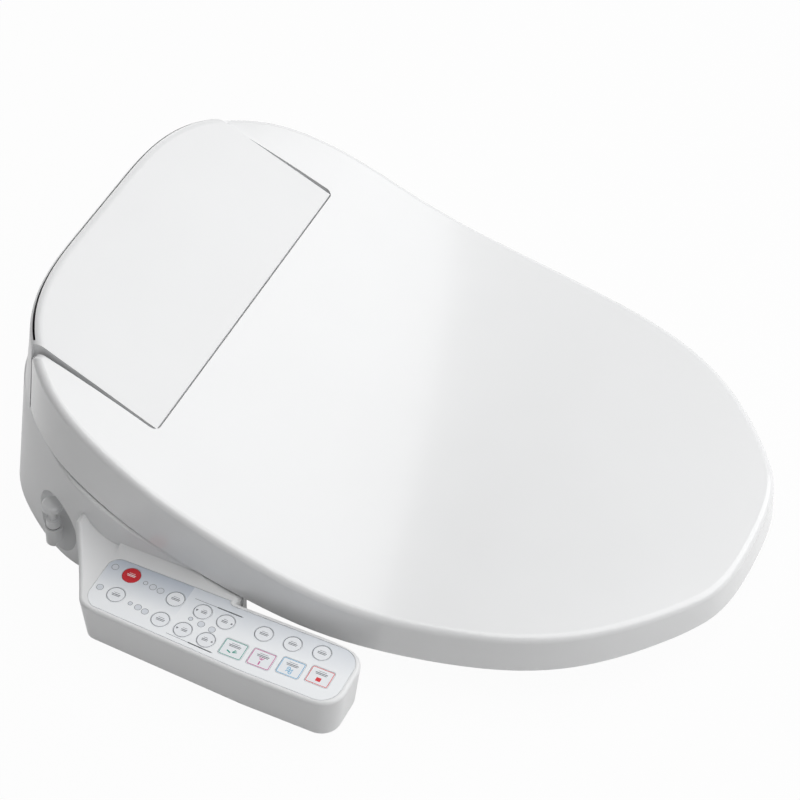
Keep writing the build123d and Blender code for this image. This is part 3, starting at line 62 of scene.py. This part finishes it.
class Value:
    """A socket that Python arithmetic can be written on."""

    def __init__(self, finish, socket):
        self.finish = finish
        self.socket = socket

    def math(self, operation, other, swapped=False):
        first, second = (other, self) if swapped else (self, other)
        return self.finish.node("ShaderNodeMath", {"operation": operation}, {0: first, 1: second})

    def __add__(self, other):
        return self.math("ADD", other)

    __radd__ = __add__

    def __sub__(self, other):
        return self.math("SUBTRACT", other)

    def __rsub__(self, other):
        return self.math("SUBTRACT", other, swapped=True)

    def __mul__(self, other):
        return self.math("MULTIPLY", other)

    __rmul__ = __mul__

    def __truediv__(self, other):
        return self.math("DIVIDE", other)

    def __rtruediv__(self, other):
        return self.math("DIVIDE", other, swapped=True)

    def __lt__(self, other):
        return self.math("LESS_THAN", other)

    def __gt__(self, other):
        return self.math("GREATER_THAN", other)

    def within(self, low, high):
        return self.math("MAXIMUM", low).math("MINIMUM", high)


class Finish:
    """One material: its nodes, and short ways to the patterns that moulded pieces share."""

    def __init__(self, name):
        self.material = bpy.data.materials.new(name)
        self.material.use_nodes = True
        self.tree = self.material.node_tree
        self.shader = self.tree.nodes["Principled BSDF"]

    def node(self, kind, settings, sockets, output=0):
        """Add a node: settings first, then the values or links of its sockets."""
        made = self.tree.nodes.new(kind)
        for name, value in settings.items():
            setattr(made, name, value)
        for name, value in sockets.items():
            self.feed(made.inputs[name], value)
        return Value(self, made.outputs[output])

    def feed(self, socket, value):
        if isinstance(value, Value):
            self.tree.links.new(value.socket, socket)
        else:
            socket.default_value = value

    def paint(self, **sockets):
        """Set sockets of the shader; underscores stand for spaces."""
        for name, value in sockets.items():
            self.feed(self.shader.inputs[name.replace("_", " ")], value)
        return self

    def place(self):
        return self.node("ShaderNodeTexCoord", {}, {}, output="Object")

    def axes(self):
        """X, Y and Z of the surface point, in metres."""
        split = self.node("ShaderNodeSeparateXYZ", {}, {"Vector": self.place()})
        return [Value(self, socket) for socket in split.socket.node.outputs]

    def noise(self, scale, detail=2.0):
        sockets = {"Vector": self.place(), "Scale": scale, "Detail": detail}
        return self.node("ShaderNodeTexNoise", {}, sockets)

    def blend(self, factor, low, high):
        """Colour between two colours."""
        settings = {"data_type": "RGBA"}
        return self.node("ShaderNodeMix", settings, {0: factor, 6: low, 7: high}, output=2)

    def bump(self, height, strength, depth):
        sockets = {"Height": height, "Strength": strength, "Distance": depth}
        return self.node("ShaderNodeBump", {}, sockets)

    def seen(self):
        """1 where the camera looks, also in a mirror or through glass."""
        path = self.node("ShaderNodeLightPath", {}, {}).socket.node.outputs
        rays = ("Is Camera Ray", "Is Glossy Ray", "Is Transmission Ray")
        camera, glossy, clear = [Value(self, path[ray]) for ray in rays]
        return camera.math("MAXIMUM", glossy).math("MAXIMUM", clear)


class Sky(Finish):
    """Even light all round, with the same short ways."""

    def __init__(self, name):
        self.world = bpy.data.worlds.new(name)
        self.world.use_nodes = True
        self.tree = self.world.node_tree
        self.shader = self.tree.nodes["Background"]


def rgba(colour, shade=1.0):
    return (colour[0] * shade, colour[1] * shade, colour[2] * shade, 1.0)


def moulded(name, colour, rough, peel, coat=0.0):
    """Moulded plastic: faint drift of tone, uneven polish, fine surface peel."""
    finish = Finish(name)
    drift = finish.noise(scale=9.0)
    grain = finish.noise(scale=1400.0, detail=3.0)
    tone = finish.blend(drift, rgba(colour, shade=0.97), rgba(colour, shade=1.02))
    polish = finish.noise(scale=60.0) * 0.1 + (rough - 0.05)
    return finish.paint(
        Base_Color=tone, Roughness=polish, Coat_Weight=coat, Coat_Roughness=0.08,
        Normal=finish.bump(grain, strength=peel, depth=0.06 * MM),
    )


def metal(name, colour, rough):
    """Turned or drawn metal with fine lines."""
    finish = Finish(name)
    lines = finish.node(
        "ShaderNodeTexWave", {"bands_direction": "X"},
        {"Vector": finish.place(), "Scale": 700.0, "Distortion": 3.0, "Detail": 2.0}, output=1,
    )
    tone = finish.blend(lines, rgba(colour, shade=0.9), rgba(colour, shade=1.05))
    return finish.paint(
        Base_Color=tone, Roughness=lines * 0.12 + rough, Metallic=1.0,
        Normal=finish.bump(lines, strength=0.2, depth=0.05 * MM),
    )


def rubber(name, colour):
    """Matt rubber with a dusty bloom."""
    finish = Finish(name)
    bloom = finish.noise(scale=120.0, detail=4.0)
    tone = finish.blend(bloom, rgba(colour, shade=0.85), rgba(colour, shade=1.1))
    grain = finish.noise(scale=2500.0)
    return finish.paint(
        Base_Color=tone, Roughness=bloom * 0.15 + 0.7,
        Normal=finish.bump(grain, strength=0.4, depth=0.1 * MM),
    )


def circuit(name, colour):
    """Coated circuit board with copper tracks under the mask."""
    finish = Finish(name)
    tracks = finish.node(
        "ShaderNodeTexBrick", {"offset": 0.37, "squash": 2.2},
        {"Vector": finish.place(), "Scale": 160.0, "Mortar Size": 0.03, "Color1": rgba(colour),
         "Color2": rgba(colour, shade=0.8), "Mortar": rgba(colour, shade=1.7)},
    )
    return finish.paint(Base_Color=tracks, Roughness=finish.noise(scale=200.0) * 0.2 + 0.3)


# Settings

def colour_setting(name, description, default):
    return FloatVectorProperty(
        name=name, description=description, default=default, subtype="COLOR", size=3, min=0.0, max=1.0,
    )


def length_setting(name, description, default):
    return FloatProperty(name=name, description=description, default=default, unit="LENGTH", min=0.0)


def power_setting(name, description, default):
    return FloatProperty(name=name, description=description, default=default, unit="POWER", min=0.0)


class BidetFinishes(PropertyGroup):
    """Colours of the visible mouldings."""

    lid: colour_setting("Lid", "High gloss white of lid and seat", (0.86, 0.865, 0.87))
    cover: colour_setting("Rear cover", "Satin white of the rear cover", (0.86, 0.865, 0.87))
    base: colour_setting("Base", "Satin white of base and control arm", (0.86, 0.865, 0.87))
    panel_near: colour_setting("Panel, lid side", "Cool grey end of the panel's fade", (0.55, 0.6, 0.68))
    panel_far: colour_setting("Panel, outer side", "Pale end of the panel's fade", (0.94, 0.96, 0.98))
    key: colour_setting("Keys", "Face of the plain keys", (0.9, 0.92, 0.95))
    power: colour_setting("Power key", "Face of the power key", (0.62, 0.012, 0.022))
    lamp: colour_setting("Lamps", "Unlit indicator lenses", (0.74, 0.77, 0.82))


class BidetPrints(PropertyGroup):
    """Sizes and inks of the printed lines."""

    line: length_setting("Line", "Width of the printed lines", 0.3 * MM)
    edge: length_setting("Edge", "Width of the coloured frames", 0.45 * MM)
    lift: length_setting("Ink", "Thickness of the ink", 0.04 * MM)
    ink: colour_setting("Grey ink", "Ink of outlines and symbols", (0.14, 0.15, 0.17))
    rear: colour_setting("Rear wash", "Ink of the rear wash key", (0.02, 0.33, 0.25))
    front: colour_setting("Front wash", "Ink of the front wash key", (0.55, 0.02, 0.26))
    dry: colour_setting("Dryer", "Ink of the dryer key", (0.1, 0.42, 0.68))
    stop: colour_setting("Stop", "Ink of the stop key", (0.72, 0.03, 0.04))
    white: colour_setting("White ink", "Ink on the power key", (0.9, 0.9, 0.9))


class BidetStage(PropertyGroup):
    """Light, floor and camera."""

    floor: colour_setting("Floor", "Colour of the floor", (0.66, 0.66, 0.66))
    main_power: power_setting("Main light", "Power of the main light", 44.0)
    side_power: power_setting("Side light", "Power of the side light", 1.2)
    rear_power: power_setting("Rear light", "Power of the rear light", 8.0)
    sky: FloatProperty(name="Sky", description="Strength of the even light", default=0.2, min=0.0)
    lens: FloatProperty(
        name="Lens", description="Focal length on a 36 mm sensor", default=129.46, unit="CAMERA",
    )


# Printed marks, drawn in millimetres with X along the reading direction

class Print:
    """Flat marks on one surface, built up with bmesh operators."""

    def __init__(self, line):
        self.mesh = bmesh.new()
        self.line = line / MM

    def move(self, verts, x, y, turn=0.0):
        spin = Matrix.Rotation(radians(turn), 3, "Z")
        bmesh.ops.rotate(self.mesh, verts=verts, cent=(0, 0, 0), matrix=spin)
        bmesh.ops.translate(self.mesh, verts=verts, vec=(x, y, 0))

    def ring(self, radius, x=0.0, y=0.0):
        """Full circle line whose outer edge has this radius."""
        made = bmesh.ops.create_circle(self.mesh, cap_ends=False, radius=radius, segments=64)["verts"]
        edges = list(dict.fromkeys(edge for vert in made for edge in vert.link_edges))
        inner = bmesh.ops.extrude_edge_only(self.mesh, edges=edges)["geom"]
        inner = [item for item in inner if isinstance(item, bmesh.types.BMVert)]
        scale = 1.0 - self.line / radius
        bmesh.ops.scale(self.mesh, verts=inner, vec=(scale, scale, 1))
        self.move(made + inner, x, y)

    def arrow(self, radius, x, side):
        """Filled triangle that points along X, to one side or the other."""
        made = bmesh.ops.create_circle(self.mesh, cap_ends=True, radius=radius, segments=3)["verts"]
        self.move(made, x, 0, 90 - 90 * side)

    def bar(self, length, width, x=0.0, y=0.0, turn=0.0):
        made = bmesh.ops.create_grid(self.mesh, x_segments=1, y_segments=1, size=0.5)["verts"]
        bmesh.ops.scale(self.mesh, verts=made, vec=(length, width, 1))
        self.move(made, x, y, turn)

    def rounded_frame(self, length, width, corner):
        """Outline of a rounded rectangle."""
        old = set(self.mesh.faces)
        made = bmesh.ops.create_grid(self.mesh, x_segments=1, y_segments=1, size=0.5)["verts"]
        bmesh.ops.scale(self.mesh, verts=made, vec=(length, width, 1))
        bmesh.ops.bevel(
            self.mesh, geom=made, offset=corner, segments=5, profile=0.5, affect="VERTICES", material=-1,
        )
        middle = [face for face in self.mesh.faces if face not in old]
        bmesh.ops.inset_region(
            self.mesh, faces=middle, thickness=self.line, use_boundary=True, use_even_offset=True,
        )
        bmesh.ops.delete(self.mesh, geom=middle, context="FACES")

    def half_ring(self, radius, width, x, y, start):
        """Half of a circle line, from a start angle on."""
        old = set(self.mesh.verts)
        ends = [self.mesh.verts.new((radius + side * width / 2, 0, 0)) for side in (-1, 1)]
        edge = self.mesh.edges.new(ends)
        bmesh.ops.spin(
            self.mesh, geom=[*ends, edge], cent=(0, 0, 0), axis=(0, 0, 1), angle=radians(180), steps=18,
        )
        self.move([vert for vert in self.mesh.verts if vert not in old], x, y, start)

    def wave(self, length, width, y):
        """Two half circles, one up and one down, along X."""
        radius = length / 4
        self.half_ring(radius, width, -radius, y, 0)
        self.half_ring(radius, width, radius, y, 180)

    def rays(self, length, x, y, reach, turns):
        """Bars that spread from a point, their middles at one reach."""
        for turn in turns:
            angle = radians(turn)
            self.bar(length, RAY_WIDTH_MM, x + reach * cos(angle), y + reach * sin(angle), turn)

    def lay(self, name, body, spot, ink, lift):
        """Turn the marks into a piece on top of a spot, reading towards the front."""
        bmesh.ops.recalc_face_normals(self.mesh, faces=self.mesh.faces)
        for face in self.mesh.faces:
            if face.normal.z < 0:
                face.normal_flip()
        turn = Matrix.Translation(spot) @ Matrix.Rotation(radians(-90), 4, "Z") @ Matrix.Scale(MM, 4)
        bmesh.ops.transform(self.mesh, matrix=turn, verts=self.mesh.verts)
        add_piece(name, self.mesh, body, ink, lift)


def add_piece(name, mesh, body, finish, thickness):
    """Make an object of a bmesh, riding on a body."""
    data = bpy.data.meshes.new(name)
    mesh.to_mesh(data)
    mesh.free()
    piece = bpy.data.objects.new(name, data)
    bpy.context.scene.collection.objects.link(piece)
    data.materials.append(finish.material)
    ink = piece.modifiers.new("Ink", "SOLIDIFY")
    ink.thickness = thickness
    ink.offset = 0.5
    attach(piece, body)


def centre_top(node):
    """Middle of a node's top, in metres."""
    low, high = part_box(node)
    return Vector(((low[0] + high[0]) / 2, (low[1] + high[1]) / 2, high[2]))


def lamp_places():
    """Middle and radius, in millimetres, of every rod of the indicator lights."""
    node = frame["nodes"]["indicator_lights"]
    mesh = bmesh.new()
    mesh.from_mesh(node.data)
    mesh.transform(node.matrix_world)
    bmesh.ops.remove_doubles(mesh, verts=mesh.verts, dist=0.01 * MM)
    left = dict.fromkeys(mesh.verts)
    places = []
    while left:
        group = [left.popitem()[0]]
        for vert in group:
            for edge in vert.link_edges:
                near = edge.other_vert(vert)
                if near in left:
                    del left[near]
                    group.append(near)
        spots = [vert.co.copy() for vert in group]
        middle = sum(spots, Vector()) / len(spots)
        places.append((middle, max((spot - middle).xy.length for spot in spots) / MM))
    mesh.free()
    return places


def dress_slot(slot, finish):
    """Give the CAD nodes of one slot their finish."""
    for node, name in SLOTS.items():
        if name == slot:
            data = frame["nodes"][node].data
            data.materials.clear()
            data.materials.append(finish.material)


# Marks of the keys, in millimetres: plain symbols, and rows of lines as generic lettering

LABEL_ROWS = ((1.7, 0.7, 0.3), (0.3, 1.0, 0.6), (-0.8, 0.9, 0.5))
RAY_WIDTH_MM = 0.5
NOZZLE_WIDTH_MM = 0.9


def label(marks, length, x=0.0, y=0.0):
    """One fine line over two bold ones."""
    for rise, share, width in LABEL_ROWS:
        marks.bar(length * share, width, x, y + rise)


def rear_spray(marks):
    """Slanting nozzle with three rays."""
    marks.bar(3.4, NOZZLE_WIDTH_MM, -2.0, -3.0, -25)
    marks.rays(3.0, 0.4, -3.2, 2.0, (20, 40, 60))


def front_spray(marks):
    """Upright nozzle with three rays."""
    marks.bar(NOZZLE_WIDTH_MM, 3.0, 0, -3.6)
    marks.rays(2.6, 0, -1.6, 2.2, (60, 90, 120))


def warm_air(marks):
    """Three waves."""
    for y in (-4.0, -2.4, -0.8):
        marks.wave(4.2, RAY_WIDTH_MM, y)


def stop_block(marks):
    """Solid block."""
    marks.bar(3.6, 3.2, 0, -2.6)


SQUARE_SYMBOLS = {
    "rear_wash_key": ("rear", rear_spray),
    "front_wash_key": ("front", front_spray),
    "dry_key": ("dry", warm_air),
    "stop_key": ("stop", stop_block),
}
ARROWS = {
    "pressure_down_key": -1, "position_back_key": -1,
    "pressure_up_key": 1, "position_front_key": 1,
}
ROUND_KEYS = [node for node in SLOTS if node.endswith("_key") and node not in SQUARE_SYMBOLS]
RULES_MM = [((-206.2, -118.5), (-206.8, -155.6)), ((-241.5, -115.0), (-243.3, -151.0))]
RULE_WIDTH_MM = 0.3
BOLD_RULE_WIDTH_MM = 0.9
BOLD_RULE_MIDDLE = 0.72
LAMP_RING_GAP_MM = 0.3
KEY_RING_MM = 6.3
KEY_LABEL_MM = 6.5
ARROW_MM = 1.1
ARROW_PLACE_MM = 4.3
ARROW_ROOM_MM = 2.0
SQUARE_FRAME_MM = (16.2, 13.7, 1.3)
SQUARE_LABEL_MM = 9.0
SQUARE_LABEL_RISE_MM = 2.6
PANEL_INNER_X = -197.0 * MM
PANEL_FADE = 48.0 * MM
PANEL_STEP_Y = -113.5 * MM
REAR_FADE_RATE = 1.6
FRONT_FADE_SLOWER = 0.6
FRONT_FADE_START = 0.45
PANEL_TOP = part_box("panel_overlay")[1][2]


def ink_finish(name, colour):
    """Screen print ink, slightly uneven in cover."""
    finish = Finish(name)
    cover = finish.noise(scale=900.0, detail=3.0)
    tone = finish.blend(cover, rgba(colour, shade=0.85), rgba(colour, shade=1.15))
    return finish.paint(Base_Color=tone, Roughness=cover * 0.2 + 0.35)


class BIDET_OT_shells(Operator):
    """Finish lid, seat, rear cover, base and control arm"""

    bl_idname = "bidet.shells"
    bl_label = "Shells"

    def execute(self, context):
        colours = context.scene.bidet_finishes
        dress_slot("lid_white", moulded("lid gloss", colours.lid, rough=0.16, peel=0.05, coat=0.5))
        dress_slot("seat_white", moulded("seat gloss", colours.lid, rough=0.18, peel=0.05, coat=0.4))
        dress_slot("cover_white", moulded("cover satin", colours.cover, rough=0.32, peel=0.12, coat=0.1))
        dress_slot("base_white", moulded("base satin", colours.base, rough=0.36, peel=0.15))
        return {"FINISHED"}


class BIDET_OT_inside(Operator):
    """Finish the hidden pieces: plate, boards, water side, dryer and fasteners"""

    bl_idname = "bidet.inside"
    bl_label = "Inside"

    def execute(self, context):
        dress_slot("rubber_grey", rubber("bumper rubber", (0.3, 0.3, 0.31)))
        dress_slot("hose_clear", rubber("hose silicone", (0.62, 0.64, 0.66)))
        dress_slot("steel", metal("drawn steel", (0.6, 0.61, 0.62), rough=0.3))
        dress_slot("copper_foil", metal("heater foil", (0.75, 0.76, 0.78), rough=0.35))
        dress_slot("brass", metal("turned brass", (0.72, 0.52, 0.2), rough=0.25))
        dress_slot("dark_plastic", moulded("engine plastic", (0.09, 0.095, 0.1), rough=0.5, peel=0.4))
        dress_slot("plate_plastic", moulded("plate plastic", (0.55, 0.55, 0.56), rough=0.5, peel=0.4))
        dress_slot("valve_black", moulded("coil plastic", (0.02, 0.02, 0.022), rough=0.45, peel=0.3))
        nozzle = moulded("nozzle plastic", (0.8, 0.8, 0.8), rough=0.25, peel=0.1, coat=0.2)
        dress_slot("nozzle_white", nozzle)
        dress_slot("board_green", circuit("coated board", (0.03, 0.16, 0.07)))
        return {"FINISHED"}


class BIDET_OT_panel(Operator):
    """Finish the panel sheet and print its lines"""

    bl_idname = "bidet.panel"
    bl_label = "Panel"

    def execute(self, context):
        colours = context.scene.bidet_finishes
        prints = context.scene.bidet_prints
        sheet = Finish("panel sheet")
        x, y, _ = sheet.axes()
        depth = (PANEL_INNER_X - x) / PANEL_FADE
        ahead = y < PANEL_STEP_Y
        fade = depth * (REAR_FADE_RATE - FRONT_FADE_SLOWER * ahead) + FRONT_FADE_START * ahead
        tone = sheet.blend(fade.within(0.0, 1.0), rgba(colours.panel_near), rgba(colours.panel_far))
        flake = sheet.noise(scale=2600.0)
        sheet.paint(
            Base_Color=tone, Roughness=flake * 0.15 + 0.28,
            Normal=sheet.bump(flake, strength=0.08, depth=0.04 * MM),
        )
        dress_slot("panel_silver", sheet)

        ink = ink_finish("panel ink", prints.ink)
        marks = Print(prints.line)
        for start, end in RULES_MM:
            first = Vector((-start[1], start[0]))
            last = Vector((-end[1], end[0]))
            slope = degrees((last - first).angle_signed(Vector((1, 0))))
            length = (last - first).length
            marks.bar(length, RULE_WIDTH_MM, *((first + last) / 2), slope)
            marks.bar(length / 2, BOLD_RULE_WIDTH_MM, *first.lerp(last, BOLD_RULE_MIDDLE), slope)
        marks.lay("panel_rules", "base", (0, 0, PANEL_TOP), ink, prints.lift)
        return {"FINISHED"}


class BIDET_OT_lamps(Operator):
    """Finish the indicator lenses and print their rings"""

    bl_idname = "bidet.lamps"
    bl_label = "Indicator lamps"

    def execute(self, context):
        prints = context.scene.bidet_prints
        colour = context.scene.bidet_finishes.lamp
        dress_slot("light_amber", moulded("lamp lens", colour, rough=0.15, peel=0.05, coat=0.3))
        marks = Print(prints.line)
        for middle, radius in lamp_places():
            marks.ring(radius + LAMP_RING_GAP_MM, -middle.y / MM, middle.x / MM)
        ink = ink_finish("lamp ring ink", prints.ink)
        marks.lay("lamp_rings", "base", (0, 0, PANEL_TOP), ink, prints.lift)
        return {"FINISHED"}


class BIDET_OT_keys(Operator):
    """Finish the keys and print their outlines and symbols"""

    bl_idname = "bidet.keys"
    bl_label = "Keys"

    def execute(self, context):
        colours = context.scene.bidet_finishes
        prints = context.scene.bidet_prints
        dress_slot("key_white", moulded("key face", colours.key, rough=0.3, peel=0.1))
        dress_slot("key_red", moulded("power key face", colours.power, rough=0.3, peel=0.1, coat=0.1))
        grey = ink_finish("key ink", prints.ink)
        white = ink_finish("power ink", prints.white)
        for node in ROUND_KEYS:
            marks = Print(prints.line)
            side = ARROWS.get(node, 0)
            if side:
                marks.arrow(ARROW_MM, ARROW_PLACE_MM * side, side)
            if node != "power_key":
                marks.ring(KEY_RING_MM)
            label(marks, KEY_LABEL_MM - ARROW_ROOM_MM * abs(side), -side * ARROW_ROOM_MM / 2)
            ink = white if node == "power_key" else grey
            marks.lay("print_" + node, BODIES[node], centre_top(node), ink, prints.lift)
        for node, (name, symbol) in SQUARE_SYMBOLS.items():
            marks = Print(prints.edge)
            marks.rounded_frame(*SQUARE_FRAME_MM)
            symbol(marks)
            ink = ink_finish(name + " ink", getattr(prints, name))
            marks.lay("print_" + node, BODIES[node], centre_top(node), ink, prints.lift)
            words = Print(prints.line)
            label(words, SQUARE_LABEL_MM, 0, SQUARE_LABEL_RISE_MM)
            words.lay("label_" + node, BODIES[node], centre_top(node), grey, prints.lift)
        return {"FINISHED"}


# Stage, in metres; the lights are placed from their target

FLOOR_HALF = 30.0
FLOOR_DROP = 0.5 * MM
FLOOR_GLOW = 0.96
WHITE = (1, 1, 1, 1)
LIGHT_TARGET = Vector((-0.03, -0.19, 0.06))
MAIN_LIGHT = Vector((0.5, -0.9, 1.6))
SIDE_LIGHT = Vector((-1.3, -1.2, 0.9))
REAR_LIGHT = Vector((1.1, 1.5, 0.5))
MAIN_LIGHT_SIZE = 2.8
SMALL_LIGHT_SIZE = 1.4
CAMERA_PLACE = (-1.3093, -0.7524, 1.5419)
CAMERA_RIGHT = (0.4249, -0.905, 0.0228)
CAMERA_UP = (0.642, 0.319, 0.6971)
CAMERA_BACK = (-0.6382, -0.2815, 0.7166)
SENSOR_MM = 36.0


class BIDET_OT_stage(Operator):
    """Floor, lights and camera"""

    bl_idname = "bidet.stage"
    bl_label = "Stage"

    def execute(self, context):
        scene = context.scene
        stage = scene.bidet_stage
        scene.view_settings.view_transform = "Standard"

        mesh = bmesh.new()
        bmesh.ops.create_grid(mesh, x_segments=1, y_segments=1, size=FLOOR_HALF)
        data = bpy.data.meshes.new("floor")
        mesh.to_mesh(data)
        mesh.free()
        floor = bpy.data.objects.new("floor", data)
        floor.location.z = -FLOOR_DROP
        scene.collection.objects.link(floor)
        paper = Finish("floor paper")
        tint = paper.noise(scale=3.0)
        tone = paper.blend(tint, rgba(stage.floor, shade=0.99), rgba(stage.floor))
        paper.paint(Base_Color=tone, Roughness=0.9)
        glow = paper.node("ShaderNodeEmission", {}, {"Color": WHITE, "Strength": 1.0})
        surface = Value(paper, paper.shader.outputs[0])
        lit = paper.seen() * FLOOR_GLOW
        mixed = paper.node("ShaderNodeMixShader", {}, {0: lit, 1: surface, 2: glow})
        paper.feed(paper.tree.nodes["Material Output"].inputs["Surface"], mixed)
        data.materials.append(paper.material)

        sky = Sky("sky")
        sky.paint(Color=WHITE, Strength=sky.seen() * (1.0 - stage.sky) + stage.sky)
        scene.world = sky.world

        self.area(scene, "main light", MAIN_LIGHT, MAIN_LIGHT_SIZE, stage.main_power)
        self.area(scene, "side light", SIDE_LIGHT, SMALL_LIGHT_SIZE, stage.side_power)
        self.area(scene, "rear light", REAR_LIGHT, SMALL_LIGHT_SIZE, stage.rear_power)

        data = bpy.data.cameras.new("camera")
        data.lens = stage.lens
        data.sensor_width = SENSOR_MM
        camera = bpy.data.objects.new("camera", data)
        turn = Matrix((CAMERA_RIGHT, CAMERA_UP, CAMERA_BACK)).transposed().to_4x4()
        camera.matrix_world = Matrix.Translation(CAMERA_PLACE) @ turn
        scene.collection.objects.link(camera)
        scene.camera = camera
        return {"FINISHED"}

    def area(self, scene, name, offset, size, power):
        """Square soft light that faces the target."""
        data = bpy.data.lights.new(name, "AREA")
        data.size = size
        data.energy = power
        lamp = bpy.data.objects.new(name, data)
        lamp.location = LIGHT_TARGET + offset
        lamp.rotation_euler = (-offset).to_track_quat("-Z", "Y").to_euler()
        lamp.visible_camera = False
        scene.collection.objects.link(lamp)


class BIDET_PT_panel(Panel):
    """Sidebar list of the steps"""

    bl_label = "Electric Bidet Seat"
    bl_idname = "BIDET_PT_panel"
    bl_space_type = "VIEW_3D"
    bl_region_type = "UI"
    bl_category = "Bidet"

    def draw(self, context):
        for operator in OPERATORS:
            self.layout.operator(operator.bl_idname)


OPERATORS = (
    BIDET_OT_shells, BIDET_OT_inside, BIDET_OT_panel, BIDET_OT_lamps, BIDET_OT_keys, BIDET_OT_stage,
)
CLASSES = (BidetFinishes, BidetPrints, BidetStage, *OPERATORS, BIDET_PT_panel)


def register():
    for item in CLASSES:
        bpy.utils.register_class(item)
    bpy.types.Scene.bidet_finishes = PointerProperty(type=BidetFinishes)
    bpy.types.Scene.bidet_prints = PointerProperty(type=BidetPrints)
    bpy.types.Scene.bidet_stage = PointerProperty(type=BidetStage)


def unregister():
    del bpy.types.Scene.bidet_stage
    del bpy.types.Scene.bidet_prints
    del bpy.types.Scene.bidet_finishes
    for item in reversed(CLASSES):
        bpy.utils.unregister_class(item)


def main():
    register()
    bpy.ops.bidet.shells()
    bpy.ops.bidet.inside()
    bpy.ops.bidet.panel()
    bpy.ops.bidet.lamps()
    bpy.ops.bidet.keys()
    bpy.ops.bidet.stage()


if __name__ == "__main__":
    main()
